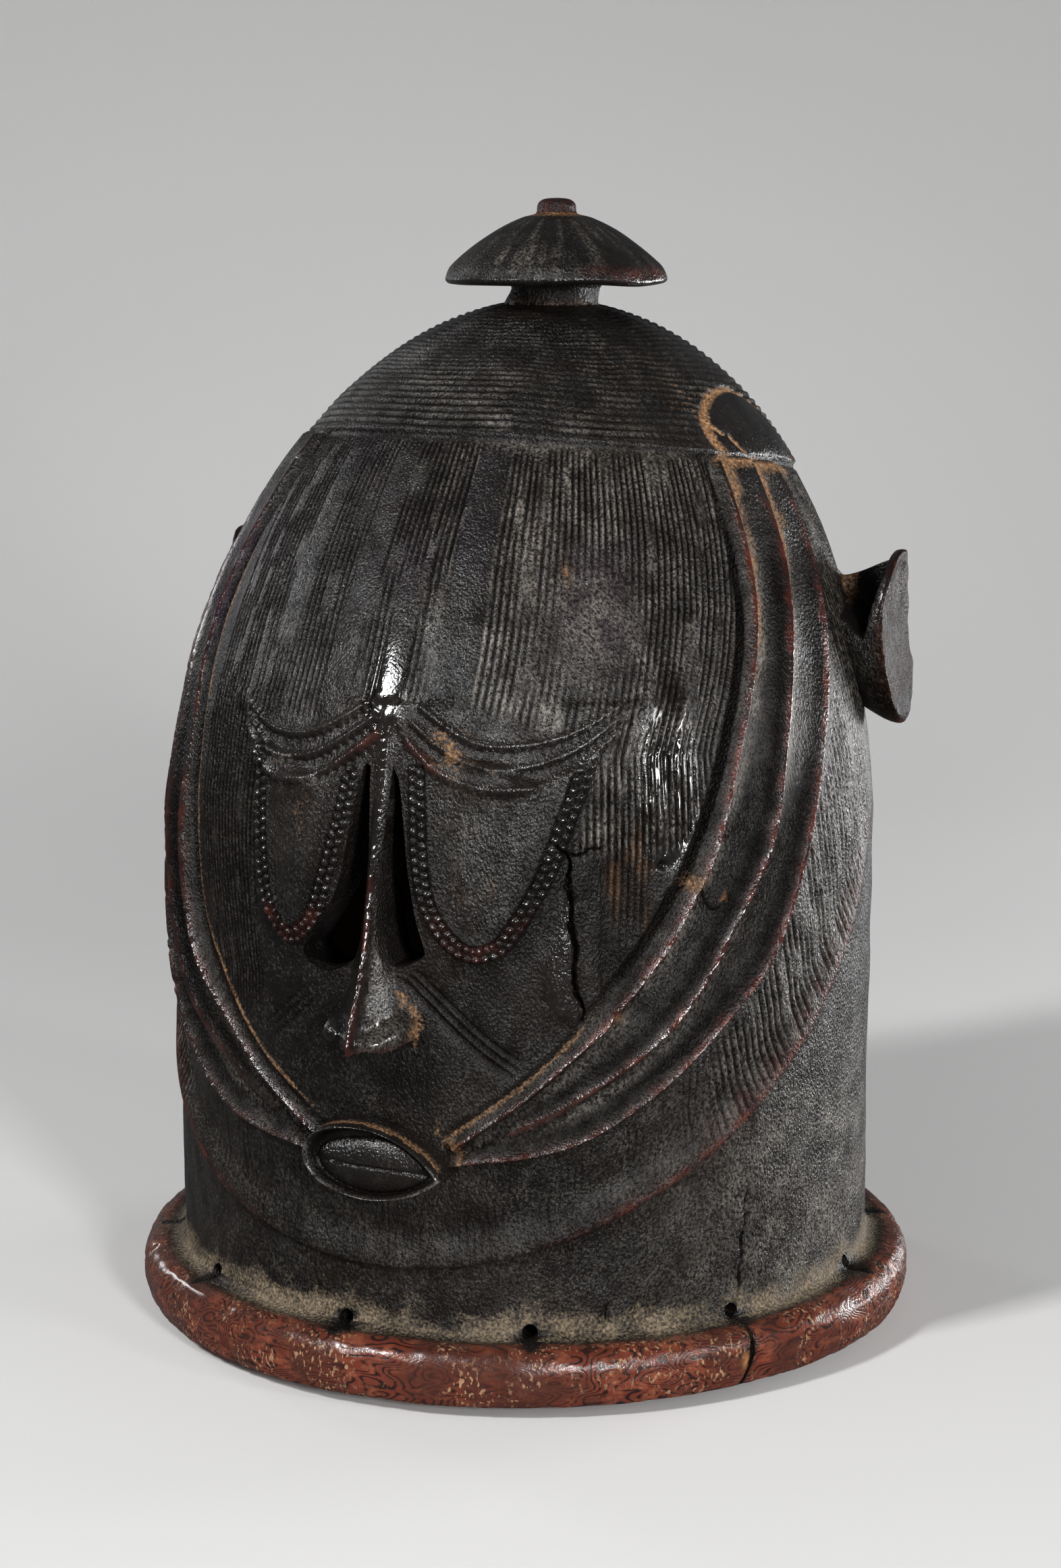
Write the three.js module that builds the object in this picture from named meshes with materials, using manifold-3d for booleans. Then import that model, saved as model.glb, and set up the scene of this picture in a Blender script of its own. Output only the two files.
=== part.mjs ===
import * as THREE from 'three';
import Module from 'manifold-3d';
import { mergeVertices } from 'three/addons/utils/BufferGeometryUtils.js';

const wasm = await Module();
wasm.setup();

// A helmet mask carved from one block of wood: a hollow dome that goes over the whole head, with a
// flange round its foot, a carved face in a frame of ridges, two ears, a ribbed cap and a finial.
// Lengths are in millimetres. The face looks along -Y. Angles are in degrees round the mask, from
// the middle of the face, and grow towards +X. Heights are above the ground.

// Neck, dome and foot
const NECK_RADIUS = 133.5;
const NECK_AXIS_Y = 8;
const DOME_SPRING_HEIGHT = 190;
const DOME_TOP_HEIGHT = 383.5;
const CROWN_SETBACK = 26;
const SETBACK_START_HEIGHT = 225;
const SETBACK_END_HEIGHT = 385;
const FACE_SWELL = 9;
const FACE_SWELL_HALF_ANGLE = 65;
const FACE_SWELL_HEIGHTS = { start: 40, full: 180, fade: 240, end: 340 };
const FLANGE_RADIUS = 150;
const FLANGE_FOOT_RADIUS = 143.5;
const FLANGE_HEIGHT = 25;

// Walls of the hollow
const NECK_WALL = 14.5;
const CAVITY_TOP_HEIGHT = 364;
const CAVITY_SPRING_HEIGHT = 186;

// Finial, a shallow hat with a knob on a short neck
const FINIAL_NECK_RADIUS = 17.2;
const FINIAL_RIM_RADIUS = 42.4;
const FINIAL_RIM_HEIGHT = 392.6;
const FINIAL_KNOB_RADIUS = 7.2;
const FINIAL_TOP_HEIGHT = 423.2;
const FINIAL_OFFSET = 1.4;
const FINIAL_LEAN = 1.9;

// Cap, a raised skin above a slightly tilted line, higher over the brow than at the back
const CAP_STEP = 1.6;
const CAP_EDGE_HEIGHT = 328.5;
const CAP_EDGE_RISE = 10;
const CAP_EDGE_RISE_ANGLE = -15;
const CAP_EDGE_RADIUS = 92;

// Temple leaf, an oval cushion on the cap over the top of the frame on each side
const LEAF_ANGLES = [-92, 84];
const LEAF_HEIGHT = 334;
const LEAF_HALF_WIDTH = 33;
const LEAF_HALF_LENGTH = 27;
const LEAF_SWELL = 1.6;
const LEAF_ROOT = 9;

// Frame of three ridges round the face, and the beard line below it. Each route is given by the
// half angle from the face's middle line and the height, from the temple down to the mouth.
const FRAME_INNER_ROUTE = [[56, 334], [55, 280], [49.5, 238], [44.5, 192], [39, 158], [25.6, 122], [11, 95]];
const FRAME_MIDDLE_ROUTE = [[67, 334], [66, 290], [61, 245], [57.5, 204], [52, 172], [42.5, 136], [29, 112], [20, 101]];
const FRAME_OUTER_ROUTE = [[77, 334], [77, 288], [72, 247], [66, 201], [61, 160], [52, 137], [41, 115], [28, 97.5], [10, 90]];
const FRAME_HALF_WIDTH = 5;
const FRAME_HEIGHT_TOP = 2.4;
const FRAME_HEIGHT_CHEEK = 6;
const FRAME_STEPS = 18;
const BEARD_LOW_HEIGHT = 49.5;
const BEARD_CURVE = 0.0145;
const BEARD_HALF_ANGLE = 98;
const BEARD_MIDDLE_ANGLE = -3;
const BEARD_HALF_WIDTH = 5;
const BEARD_HEIGHT = 2.4;
const BEARD_STEPS = 22;

// The carver's middle line leans: it runs to the left of the mask at the brow
const MIDDLE_AT_MOUTH = -1.5;
const MIDDLE_AT_BROW = 6;
const MIDDLE_HEIGHTS = { low: 130, high: 270 };

// Brows, two hanging garlands from the root of the nose
const BROW_ROUTE = [[1, 242], [6, 234], [12, 229], [18, 229], [24, 232], [30, 240]];
const BROW_HALF_WIDTH = 7;
const BROW_HEIGHT = 2.2;

// Heavy eyelids, tongue shapes seen from the front, each with its slit beside the nose
const LID_SWELL = 2.6;
const LID_TOP_HEIGHT = 233;
const LID_LOW_HEIGHT = 161.5;
const RIGHT_LID = { inner: -8, outer: -54, low: -36 };
const LEFT_LID = { inner: 8.5, outer: 67, low: 33 };
const RIGHT_SLIT = { nose: -4.8, top: 231, side: -17.8, sideHeight: 187, corner: -31, cornerHeight: 164, low: -20, lowHeight: 156 };
const LEFT_SLIT = { nose: -1.6, top: 231, side: 10.4, sideHeight: 184, corner: 15, cornerHeight: 166, low: 6, lowHeight: 159.5 };

// Nose, a thin blade that widens to the wings. Each station: height, half width and reach.
const NOSE_STATIONS = [
  [238, 3.4, 0.4], [222, 3, 1.2], [205, 2.2, 2], [188, 2, 3.2],
  [168, 3.4, 8], [154, 8, 15], [145, 14, 22.6], [134, 15, 25.9],
];
const NOSE_EXTRA_STEPS = 4;
const NOSE_ANGLE_TOP = 0;
const NOSE_ANGLE_LOW = -1.5;

// Mouth, an almond cup with two lips inside it
const MOUTH_CENTRE_X = -2.8;
const MOUTH_CENTRE_HEIGHT = 90;
const MOUTH_HALF_WIDTH = 26;
const MOUTH_HALF_HEIGHT = 14;
const MOUTH_TILT = 7;
const MOUTH_REACH = 149.5;
const MOUTH_RIM = 3.2;
const MOUTH_DEPTH = 6;
const LIP_SWELL = 4.2;
const LIP_GAP = 0.9;

// Ears, C-shaped in side view and open to the front, the mask's right ear first
const EAR_Y = [45, 37];
const EAR_HEIGHT = 260.5;
const EAR_HALF_DEPTH = 22;
const EAR_HALF_LENGTH = 33;
const EAR_REACH = [137, 140.8];
const EAR_ROOT = 108;
const EAR_BITE = { forward: 11, height: 274, halfDepth: 26, halfLength: 14.5, turn: -12 };
const EAR_BITE_FLOOR = 118;
const EAR_BEVEL = 2;

// Drilled holes above the flange, and the crack through the flange
const HOLE_RADIUS = 3;
const HOLE_HEIGHT = 27.5;
const FRONT_HOLE_ANGLES = [-39, -8.4, 20.8, 53.6, 84];
const BACK_HOLES = { count: 7, first: 113.8, pitch: 29.6 };
const CRACK_ANGLE = 52.2;
const CRACK_SLANT = 9;
const CRACK_WIDTH = 2.2;
const CRACK_DEPTH = 24;
const CRACK_HEIGHT = 29;

// Fineness of the facets
const BODY_COLUMNS = 48;
const FRONT_CROWDING = 0.34;
const DOME_ROWS = 10;
const CAVITY_COLUMNS = 26;
const CAVITY_ROWS = 7;
const ROUND_COLUMNS = 22;

const smoothStep = THREE.MathUtils.smoothstep;
const radians = THREE.MathUtils.degToRad;

function setbackAt(height) {
  return NECK_AXIS_Y + CROWN_SETBACK * smoothStep(height, SETBACK_START_HEIGHT, SETBACK_END_HEIGHT);
}

function domeRadiusAt(height, radius, spring, top) {
  const rise = Math.max(0, (height - spring) / (top - spring));
  return radius * Math.sqrt(Math.max(0, 1 - rise * rise));
}

function swellAt(angle, height) {
  const heights = FACE_SWELL_HEIGHTS;
  const lift = smoothStep(height, heights.start, heights.full) * (1 - smoothStep(height, heights.fade, heights.end));
  const turned = Math.abs(THREE.MathUtils.euclideanModulo(angle + 180, 360) - 180);
  return FACE_SWELL * lift * (1 - smoothStep(turned, 0, FACE_SWELL_HALF_ANGLE));
}

// A point of the mask's smooth outer skin, at an angle and a height, raised by some millimetres
function skinPoint(angle, height, raise = 0) {
  const round = domeRadiusAt(height, NECK_RADIUS, DOME_SPRING_HEIGHT, DOME_TOP_HEIGHT);
  const reach = round + swellAt(angle, height) + raise;
  const turn = radians(angle);
  return new THREE.Vector3(reach * Math.sin(turn), setbackAt(height) - reach * Math.cos(turn), height);
}

function skinNormal(angle, height) {
  const across = skinPoint(angle + 1, height).sub(skinPoint(angle - 1, height));
  const along = skinPoint(angle, height + 1).sub(skinPoint(angle, height - 1));
  return across.cross(along).normalize();
}

function middleAt(height) {
  const lean = smoothStep(height, MIDDLE_HEIGHTS.low, MIDDLE_HEIGHTS.high);
  return THREE.MathUtils.lerp(MIDDLE_AT_MOUTH, MIDDLE_AT_BROW, lean);
}

// Turns a closed geometry into a solid with its faces outwards
function solidFrom(geometry) {
  const bare = geometry.index ? geometry.toNonIndexed() : geometry.clone();
  bare.deleteAttribute('normal');
  bare.deleteAttribute('uv');
  const merged = mergeVertices(bare, 1e-3);
  const points = merged.attributes.position.array;
  const corners = merged.index.array;
  const kept = [];
  let volume = 0;
  for (let i = 0; i < corners.length; i += 3) {
    const [a, b, c] = [corners[i], corners[i + 1], corners[i + 2]];
    if (a === b || b === c || c === a) continue;
    kept.push([a, b, c]);
    const pa = new THREE.Vector3().fromArray(points, 3 * a);
    const pb = new THREE.Vector3().fromArray(points, 3 * b);
    const pc = new THREE.Vector3().fromArray(points, 3 * c);
    volume += pa.dot(pb.cross(pc));
  }
  const ordered = kept.map(([a, b, c]) => (volume < 0 ? [a, c, b] : [a, b, c]));
  const mesh = new wasm.Mesh({
    numProp: 3,
    vertProperties: new Float32Array(points),
    triVerts: new Uint32Array(ordered.flat()),
  });
  return new wasm.Manifold(mesh);
}

function moveVertices(geometry, move) {
  const position = geometry.attributes.position;
  const point = new THREE.Vector3();
  for (let i = 0; i < position.count; i += 1) {
    point.fromBufferAttribute(position, i);
    move(point);
    position.setXYZ(i, point.x, point.y, point.z);
  }
  return geometry;
}

// Turns a profile of [radius, height] about the vertical axis
function latheSolid(profile, columns, move) {
  const outline = profile.map(([radius, height]) => new THREE.Vector2(radius, height));
  const geometry = new THREE.LatheGeometry(outline, columns).rotateX(Math.PI / 2);
  return solidFrom(moveVertices(geometry, move));
}

// Seats a turned point on the mask: crowds the columns to the front, adds the swell of the face
// and sets the crown back
function seatOnMask(point) {
  const radius = Math.hypot(point.x, point.y);
  const evenAngle = Math.atan2(point.x, -point.y);
  const angle = evenAngle - FRONT_CROWDING * Math.sin(evenAngle);
  const swell = radius > 1 ? swellAt(THREE.MathUtils.radToDeg(angle), point.z) : 0;
  const reach = radius + swell;
  point.x = reach * Math.sin(angle);
  point.y = setbackAt(point.z) - reach * Math.cos(angle);
}

function domeProfile(radius, spring, top, rows) {
  const profile = [];
  for (let row = 0; row <= rows; row += 1) {
    const turn = (row / rows) * Math.PI / 2;
    profile.push([row === rows ? 0 : radius * Math.cos(turn), spring + (top - spring) * Math.sin(turn)]);
  }
  return profile;
}

function makeBody() {
  const foot = [
    [0, 0],
    [FLANGE_FOOT_RADIUS, 0],
    [FLANGE_RADIUS - 2.2, 4.5],
    [FLANGE_RADIUS, 11],
    [FLANGE_RADIUS, 18],
    [FLANGE_RADIUS - 1.6, 22.8],
    [FLANGE_RADIUS - 5, FLANGE_HEIGHT],
    [NECK_RADIUS + 3.5, FLANGE_HEIGHT - 0.6],
    [NECK_RADIUS, FLANGE_HEIGHT + 4],
    [NECK_RADIUS, 60],
    [NECK_RADIUS, 95],
    [NECK_RADIUS, 130],
    [NECK_RADIUS, 162],
  ];
  const dome = domeProfile(NECK_RADIUS, DOME_SPRING_HEIGHT, DOME_TOP_HEIGHT, DOME_ROWS);
  return latheSolid([...foot, ...dome], BODY_COLUMNS, seatOnMask);
}

function makeCap() {
  const raised = NECK_RADIUS + CAP_STEP;
  const dome = domeProfile(raised, DOME_SPRING_HEIGHT, DOME_TOP_HEIGHT + 0.6, DOME_ROWS);
  const skin = latheSolid([[0, DOME_SPRING_HEIGHT], ...dome], BODY_COLUMNS, seatOnMask);
  const leaves = LEAF_ANGLES.map(makeLeaf);
  const block = new THREE.BoxGeometry(400, 400, 200).translate(0, 0, 100);
  const rise = radians(CAP_EDGE_RISE_ANGLE);
  const slope = CAP_EDGE_RISE / CAP_EDGE_RADIUS;
  const up = new THREE.Vector3(-slope * Math.sin(rise), slope * Math.cos(rise), 1).normalize();
  block.applyQuaternion(new THREE.Quaternion().setFromUnitVectors(new THREE.Vector3(0, 0, 1), up));
  block.translate(0, setbackAt(CAP_EDGE_HEIGHT), CAP_EDGE_HEIGHT);
  return skin.add(leaves[0]).add(leaves[1]).intersect(solidFrom(block));
}

// Lays a shape that is built on the XY plane onto the skin, with its +Z along the skin's normal
function layOnSkin(geometry, angle, height) {
  const out = skinNormal(angle, height);
  const up = new THREE.Vector3(0, 0, 1);
  const side = up.clone().cross(out).normalize();
  const along = out.clone().cross(side);
  const place = new THREE.Matrix4().makeBasis(side, along, out);
  place.setPosition(skinPoint(angle, height));
  return geometry.applyMatrix4(place);
}

function makeLeaf(angle) {
  const cushion = new THREE.SphereGeometry(1, 12, 8);
  cushion.scale(LEAF_HALF_WIDTH, LEAF_HALF_LENGTH, LEAF_SWELL + CAP_STEP + LEAF_ROOT);
  cushion.translate(0, 0, -LEAF_ROOT);
  return solidFrom(layOnSkin(cushion, angle, LEAF_HEIGHT));
}

function makeFinial() {
  const rim = FINIAL_RIM_RADIUS;
  const base = FINIAL_RIM_HEIGHT;
  const profile = [
    [0, DOME_TOP_HEIGHT - 12],
    [FINIAL_NECK_RADIUS + 10, DOME_TOP_HEIGHT - 7],
    [FINIAL_NECK_RADIUS + 3, DOME_TOP_HEIGHT - 1.5],
    [FINIAL_NECK_RADIUS, DOME_TOP_HEIGHT + 3],
    [FINIAL_NECK_RADIUS, base - 1],
    [rim - 12, base - 1.8],
    [rim - 2, base - 2],
    [rim, base],
    [rim - 0.9, base + 3.2],
    [rim - 3.7, base + 6.4],
    [rim - 11, base + 12.9],
    [rim - 20.3, base + 19.3],
    [FINIAL_KNOB_RADIUS + 2.5, base + 24.6],
    [FINIAL_KNOB_RADIUS, base + 25.6],
    [FINIAL_KNOB_RADIUS, base + 28.5],
    [FINIAL_KNOB_RADIUS - 3, FINIAL_TOP_HEIGHT],
    [0, FINIAL_TOP_HEIGHT],
  ];
  const seat = (point) => {
    point.x += FINIAL_OFFSET + FINIAL_LEAN * smoothStep(point.z, DOME_TOP_HEIGHT, base - 2);
    point.y += NECK_AXIS_Y + CROWN_SETBACK;
  };
  return latheSolid(profile, ROUND_COLUMNS, seat);
}

// Bends a straight bar of diamond section along a route over the skin. The route gives, for each
// fraction of its length, the angle, the height, the half width and the crest height.
function bendBar(route, sides, steps) {
  const bar = new THREE.CylinderGeometry(1, 1, 1, sides, steps);
  const bend = (point) => {
    const { angle, height, halfWidth, crest } = route(0.5 - point.y);
    const next = route(Math.min(0.5 - point.y + 0.01, 1));
    const last = route(Math.max(0.5 - point.y - 0.01, 0));
    const along = skinPoint(next.angle, next.height).sub(skinPoint(last.angle, last.height)).normalize();
    const out = skinNormal(angle, height);
    const across = along.clone().cross(out).normalize();
    const seat = skinPoint(angle, height);
    seat.addScaledVector(across, halfWidth * point.x);
    seat.addScaledVector(out, point.z > 0 ? crest * point.z : 4 * point.z);
    point.copy(seat);
  };
  return solidFrom(moveVertices(bar, bend));
}

function frameRidge(points, side, endScale) {
  const curve = new THREE.SplineCurve(points.map(([half, height]) => new THREE.Vector2(half, height)));
  const route = (fraction) => {
    const spot = curve.getPoint(fraction);
    const thin = THREE.MathUtils.lerp(1, endScale, smoothStep(fraction, 0.7, 1));
    const deep = 1 - smoothStep(spot.y, 190, 235);
    return {
      angle: side * spot.x + middleAt(spot.y),
      height: spot.y,
      halfWidth: FRAME_HALF_WIDTH * thin,
      crest: THREE.MathUtils.lerp(FRAME_HEIGHT_TOP, FRAME_HEIGHT_CHEEK, deep) * thin,
    };
  };
  return bendBar(route, 4, FRAME_STEPS);
}

function makeFrame() {
  const ridges = [];
  for (const side of [-1, 1]) {
    ridges.push(frameRidge(FRAME_INNER_ROUTE, side, 0.6));
    ridges.push(frameRidge(FRAME_MIDDLE_ROUTE, side, 0.2));
    ridges.push(frameRidge(FRAME_OUTER_ROUTE, side, 0.8));
  }
  return ridges;
}

function makeBeardLine() {
  const route = (fraction) => {
    const half = THREE.MathUtils.lerp(-BEARD_HALF_ANGLE, BEARD_HALF_ANGLE, fraction);
    const thin = smoothStep(BEARD_HALF_ANGLE - Math.abs(half), -4, 14);
    return {
      angle: half + BEARD_MIDDLE_ANGLE,
      height: BEARD_LOW_HEIGHT + BEARD_CURVE * half * half,
      halfWidth: BEARD_HALF_WIDTH,
      crest: BEARD_HEIGHT * thin,
    };
  };
  return bendBar(route, 4, BEARD_STEPS);
}

function makeBrow(side) {
  const curve = new THREE.SplineCurve(BROW_ROUTE.map(([half, height]) => new THREE.Vector2(half, height)));
  const route = (fraction) => {
    const spot = curve.getPoint(fraction);
    const taper = 0.45 + 0.55 * Math.sin(Math.PI * Math.min(fraction + 0.1, 1));
    return {
      angle: side * spot.x + (side > 0 ? 3 : 2) * smoothStep(spot.x, 0, 20),
      height: spot.y,
      halfWidth: BROW_HALF_WIDTH * taper,
      crest: BROW_HEIGHT * taper,
    };
  };
  return bendBar(route, 6, 12);
}

// Extrudes an outline seen from the front, from one depth to another
function frontPrism(outline, near, far, segments) {
  const geometry = new THREE.ExtrudeGeometry(outline, {
    depth: far - near,
    bevelEnabled: false,
    curveSegments: segments,
  });
  geometry.rotateX(Math.PI / 2);
  geometry.translate(0, far, 0);
  return solidFrom(geometry);
}

function makeLids() {
  const raised = latheSolid(
    [[0, 120], [NECK_RADIUS + LID_SWELL, 120], [NECK_RADIUS + LID_SWELL, 155],
      ...domeProfile(NECK_RADIUS + LID_SWELL, DOME_SPRING_HEIGHT, DOME_TOP_HEIGHT, DOME_ROWS)],
    BODY_COLUMNS,
    seatOnMask,
  );
  return [RIGHT_LID, LEFT_LID].map((lid) => {
    const outline = new THREE.Shape();
    outline.moveTo(lid.inner, LID_TOP_HEIGHT);
    outline.bezierCurveTo(
      lid.inner * 1.2, 185,
      lid.low - (lid.low - lid.inner) * 0.55, LID_LOW_HEIGHT,
      lid.low, LID_LOW_HEIGHT,
    );
    outline.bezierCurveTo(
      lid.low + (lid.outer - lid.low) * 0.6, LID_LOW_HEIGHT,
      lid.outer, 190,
      lid.outer, LID_TOP_HEIGHT,
    );
    return frontPrism(outline, -170, -80, 8).intersect(raised);
  });
}

function makeSlit(slit) {
  const outline = new THREE.Shape();
  outline.moveTo(slit.nose, slit.top);
  outline.quadraticCurveTo((slit.nose + slit.side) / 2, slit.top, slit.side, slit.sideHeight);
  outline.lineTo(slit.corner, slit.cornerHeight);
  outline.quadraticCurveTo(slit.low, slit.lowHeight - 3, slit.nose, slit.lowHeight + 4);
  return frontPrism(outline, -190, -60, 5);
}

function makeNose() {
  const last = NOSE_STATIONS.length - 1;
  const route = (fraction) => {
    const spot = Math.min(Math.floor(fraction * last), last - 1);
    const part = fraction * last - spot;
    const [height, halfWidth, reach] = NOSE_STATIONS[spot].map(
      (value, k) => THREE.MathUtils.lerp(value, NOSE_STATIONS[spot + 1][k], part),
    );
    const lean = smoothStep(height, 180, 228);
    return { angle: THREE.MathUtils.lerp(NOSE_ANGLE_LOW, NOSE_ANGLE_TOP, lean), height, halfWidth, crest: reach };
  };
  return bendBar(route, 6, last + NOSE_EXTRA_STEPS);
}

function almond(halfWidth, halfHeight) {
  const outline = new THREE.Shape();
  outline.moveTo(-halfWidth, 0);
  outline.bezierCurveTo(-halfWidth, halfHeight * 1.1, halfWidth * 0.35, halfHeight * 1.35, halfWidth, 0);
  outline.bezierCurveTo(halfWidth * 0.35, -halfHeight * 1.35, -halfWidth, -halfHeight * 1.1, -halfWidth, 0);
  return outline;
}

function makeMouth() {
  const front = NECK_AXIS_Y - MOUTH_REACH;
  const rim = new THREE.ExtrudeGeometry(almond(MOUTH_HALF_WIDTH - 1.2, MOUTH_HALF_HEIGHT - 1.2), {
    depth: 26,
    bevelThickness: 1.2,
    bevelSize: 1.2,
    bevelSegments: 1,
    curveSegments: 9,
  });
  const hollow = new THREE.ExtrudeGeometry(almond(MOUTH_HALF_WIDTH - MOUTH_RIM, MOUTH_HALF_HEIGHT - MOUTH_RIM), {
    depth: MOUTH_DEPTH + 4,
    bevelEnabled: false,
    curveSegments: 9,
  });
  const place = (geometry, y) => {
    geometry.rotateX(Math.PI / 2);
    geometry.rotateY(radians(MOUTH_TILT));
    geometry.translate(MOUTH_CENTRE_X, y, MOUTH_CENTRE_HEIGHT);
    return solidFrom(geometry);
  };
  const cup = place(rim, front + 27.2).subtract(place(hollow, front + MOUTH_DEPTH));
  const lips = [-1, 1].map((side) => {
    const lip = new THREE.SphereGeometry(1, 14, 8);
    lip.scale(MOUTH_HALF_WIDTH - MOUTH_RIM - 1.5, (MOUTH_HALF_HEIGHT - MOUTH_RIM) * 0.46, LIP_SWELL);
    lip.translate(-1, side * ((MOUTH_HALF_HEIGHT - MOUTH_RIM) * 0.46 + LIP_GAP / 2), 0);
    return place(lip, front + MOUTH_DEPTH);
  });
  return cup.add(lips[0]).add(lips[1]);
}

function ellipseOutline(y, height, halfDepth, halfLength, turn) {
  const outline = new THREE.Shape();
  outline.absellipse(y, height, halfDepth, halfLength, 0, 2 * Math.PI, false, radians(turn));
  return outline;
}

// An ear, extruded outwards from the side of the head
function makeEar(side) {
  const sideways = (outline, from, to, bevel) => {
    const geometry = new THREE.ExtrudeGeometry(outline, {
      depth: to - from,
      bevelEnabled: bevel > 0,
      bevelThickness: bevel,
      bevelSize: bevel,
      bevelOffset: -bevel,
      bevelSegments: 1,
      curveSegments: 8,
    });
    geometry.rotateX(Math.PI / 2);
    geometry.rotateZ(Math.PI / 2);
    geometry.translate(from, 0, 0);
    if (side < 0) geometry.scale(-1, 1, 1);
    return solidFrom(geometry);
  };
  const middle = EAR_Y[side < 0 ? 0 : 1];
  const reach = EAR_REACH[side < 0 ? 0 : 1];
  const { forward, height, halfDepth, halfLength, turn } = EAR_BITE;
  const whole = ellipseOutline(middle, EAR_HEIGHT, EAR_HALF_DEPTH, EAR_HALF_LENGTH, 0);
  const bite = ellipseOutline(middle - forward, height, halfDepth, halfLength, turn);
  const plate = sideways(whole, EAR_ROOT, reach - EAR_BEVEL, EAR_BEVEL);
  return plate.subtract(sideways(bite, EAR_BITE_FLOOR, reach + 10, 0));
}

function makeCavity() {
  const radius = NECK_RADIUS - NECK_WALL;
  const dome = domeProfile(radius, CAVITY_SPRING_HEIGHT, CAVITY_TOP_HEIGHT, CAVITY_ROWS);
  const profile = [[0, -5], [radius, -5], [radius, 60], [radius, 120], ...dome];
  const seat = (point) => {
    point.y = setbackAt(point.z) + point.y;
  };
  return latheSolid(profile, CAVITY_COLUMNS, seat);
}

function makeHoles() {
  const angles = [...FRONT_HOLE_ANGLES];
  for (let i = 0; i < BACK_HOLES.count; i += 1) {
    angles.push(BACK_HOLES.first + i * BACK_HOLES.pitch);
  }
  return angles.map((angle) => {
    const drill = new THREE.CylinderGeometry(HOLE_RADIUS, HOLE_RADIUS, 60, 6);
    drill.translate(0, -NECK_RADIUS, 0);
    drill.rotateZ(radians(angle));
    drill.translate(0, NECK_AXIS_Y, HOLE_HEIGHT);
    return solidFrom(drill);
  });
}

function makeCrack() {
  const wedge = new THREE.CylinderGeometry(CRACK_WIDTH / 2, 0.3, CRACK_HEIGHT + 5, 4, 1);
  wedge.rotateX(Math.PI / 2);
  wedge.scale(1, CRACK_DEPTH / CRACK_WIDTH * 2, 1);
  wedge.rotateY(radians(CRACK_SLANT));
  wedge.translate(0, -FLANGE_RADIUS, CRACK_HEIGHT / 2 - 2.5);
  wedge.rotateZ(radians(CRACK_ANGLE));
  wedge.translate(0, NECK_AXIS_Y, 0);
  return solidFrom(wedge);
}

function carveMask() {
  let wood = makeBody();
  for (const lid of makeLids()) wood = wood.add(lid);
  wood = wood.add(makeCap());
  for (const ridge of makeFrame()) wood = wood.add(ridge);
  wood = wood.add(makeBeardLine());
  for (const side of [-1, 1]) {
    wood = wood.add(makeBrow(side));
    wood = wood.add(makeEar(side));
  }
  wood = wood.add(makeFinial());
  wood = wood.add(makeMouth());
  wood = wood.subtract(makeSlit(RIGHT_SLIT));
  wood = wood.subtract(makeSlit(LEFT_SLIT));
  wood = wood.add(makeNose());
  wood = wood.subtract(makeCavity());
  for (const hole of makeHoles()) wood = wood.subtract(hole);
  return wood.subtract(makeCrack());
}

function geometryFrom(solid) {
  const mesh = solid.getMesh();
  const geometry = new THREE.BufferGeometry();
  geometry.setAttribute('position', new THREE.Float32BufferAttribute(mesh.vertProperties, 3));
  geometry.setIndex(new THREE.Uint32BufferAttribute(mesh.triVerts, 1));
  geometry.computeVertexNormals();
  return geometry;
}

const wood = new THREE.MeshStandardMaterial({ color: 0x2a211c, roughness: 0.42, metalness: 0 });

const mask = new THREE.Mesh(geometryFrom(carveMask()), wood);
mask.name = 'carved_mask';

const part = new THREE.Group();
part.add(mask);

export default part;
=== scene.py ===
# %% [markdown]
# This file finishes a carved helmet mask. The real one is cut from a single block of wood, worn over
# the whole head, and dark with oil, smoke and handling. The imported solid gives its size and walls.
# Here one finely carved skin takes its place, in metres, in the same frame: the face looks along -Y.
# %% The frame
import math

import bmesh
import bpy
import numpy as np
from mathutils import Matrix, Vector


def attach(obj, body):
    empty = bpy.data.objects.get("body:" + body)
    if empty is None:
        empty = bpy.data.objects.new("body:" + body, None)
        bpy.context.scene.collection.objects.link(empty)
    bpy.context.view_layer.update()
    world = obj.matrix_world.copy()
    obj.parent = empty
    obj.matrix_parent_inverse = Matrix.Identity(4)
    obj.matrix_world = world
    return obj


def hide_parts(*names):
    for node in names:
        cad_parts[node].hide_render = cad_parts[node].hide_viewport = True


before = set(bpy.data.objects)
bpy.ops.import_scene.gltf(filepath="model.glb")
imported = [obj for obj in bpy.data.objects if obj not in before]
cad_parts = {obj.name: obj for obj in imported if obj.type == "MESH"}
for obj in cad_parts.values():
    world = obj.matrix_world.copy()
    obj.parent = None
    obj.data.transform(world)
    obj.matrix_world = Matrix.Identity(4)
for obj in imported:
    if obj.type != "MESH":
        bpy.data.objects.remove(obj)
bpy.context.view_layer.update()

MM = 0.001

# %% [markdown]
# A carver thinks of the mask as a block with a smooth outside, into which everything is cut. So the
# first step is that smooth outside: a straight neck, a dome set back behind the brow, and a foot.
# Sizes are in millimetres and angles in degrees round the mask, from the middle of the face.
# %% Sizes of the block
NECK_RADIUS = 133.5
NECK_AXIS_Y = 8
DOME_SPRING = 190
DOME_TOP = 383.5
DOME_RISE = DOME_TOP - DOME_SPRING
CROWN_SETBACK = 26
SETBACK_HEIGHTS = (225, 385)
FACE_SWELL = 9
FACE_SWELL_ANGLE = 65
FOOT_PROFILE = [
    (143.5, 0), (147.8, 4.5), (150, 11), (150, 16.4), (149, 20.6), (146.4, 23.8),
    (142.4, 25.2), (137.8, 25.2), (134.6, 27), (133.5, 31),
]
FOOT_TOP = 31


def unit(value):
    """The value held between 0 and 1."""
    return np.clip(value, 0, 1)


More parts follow.
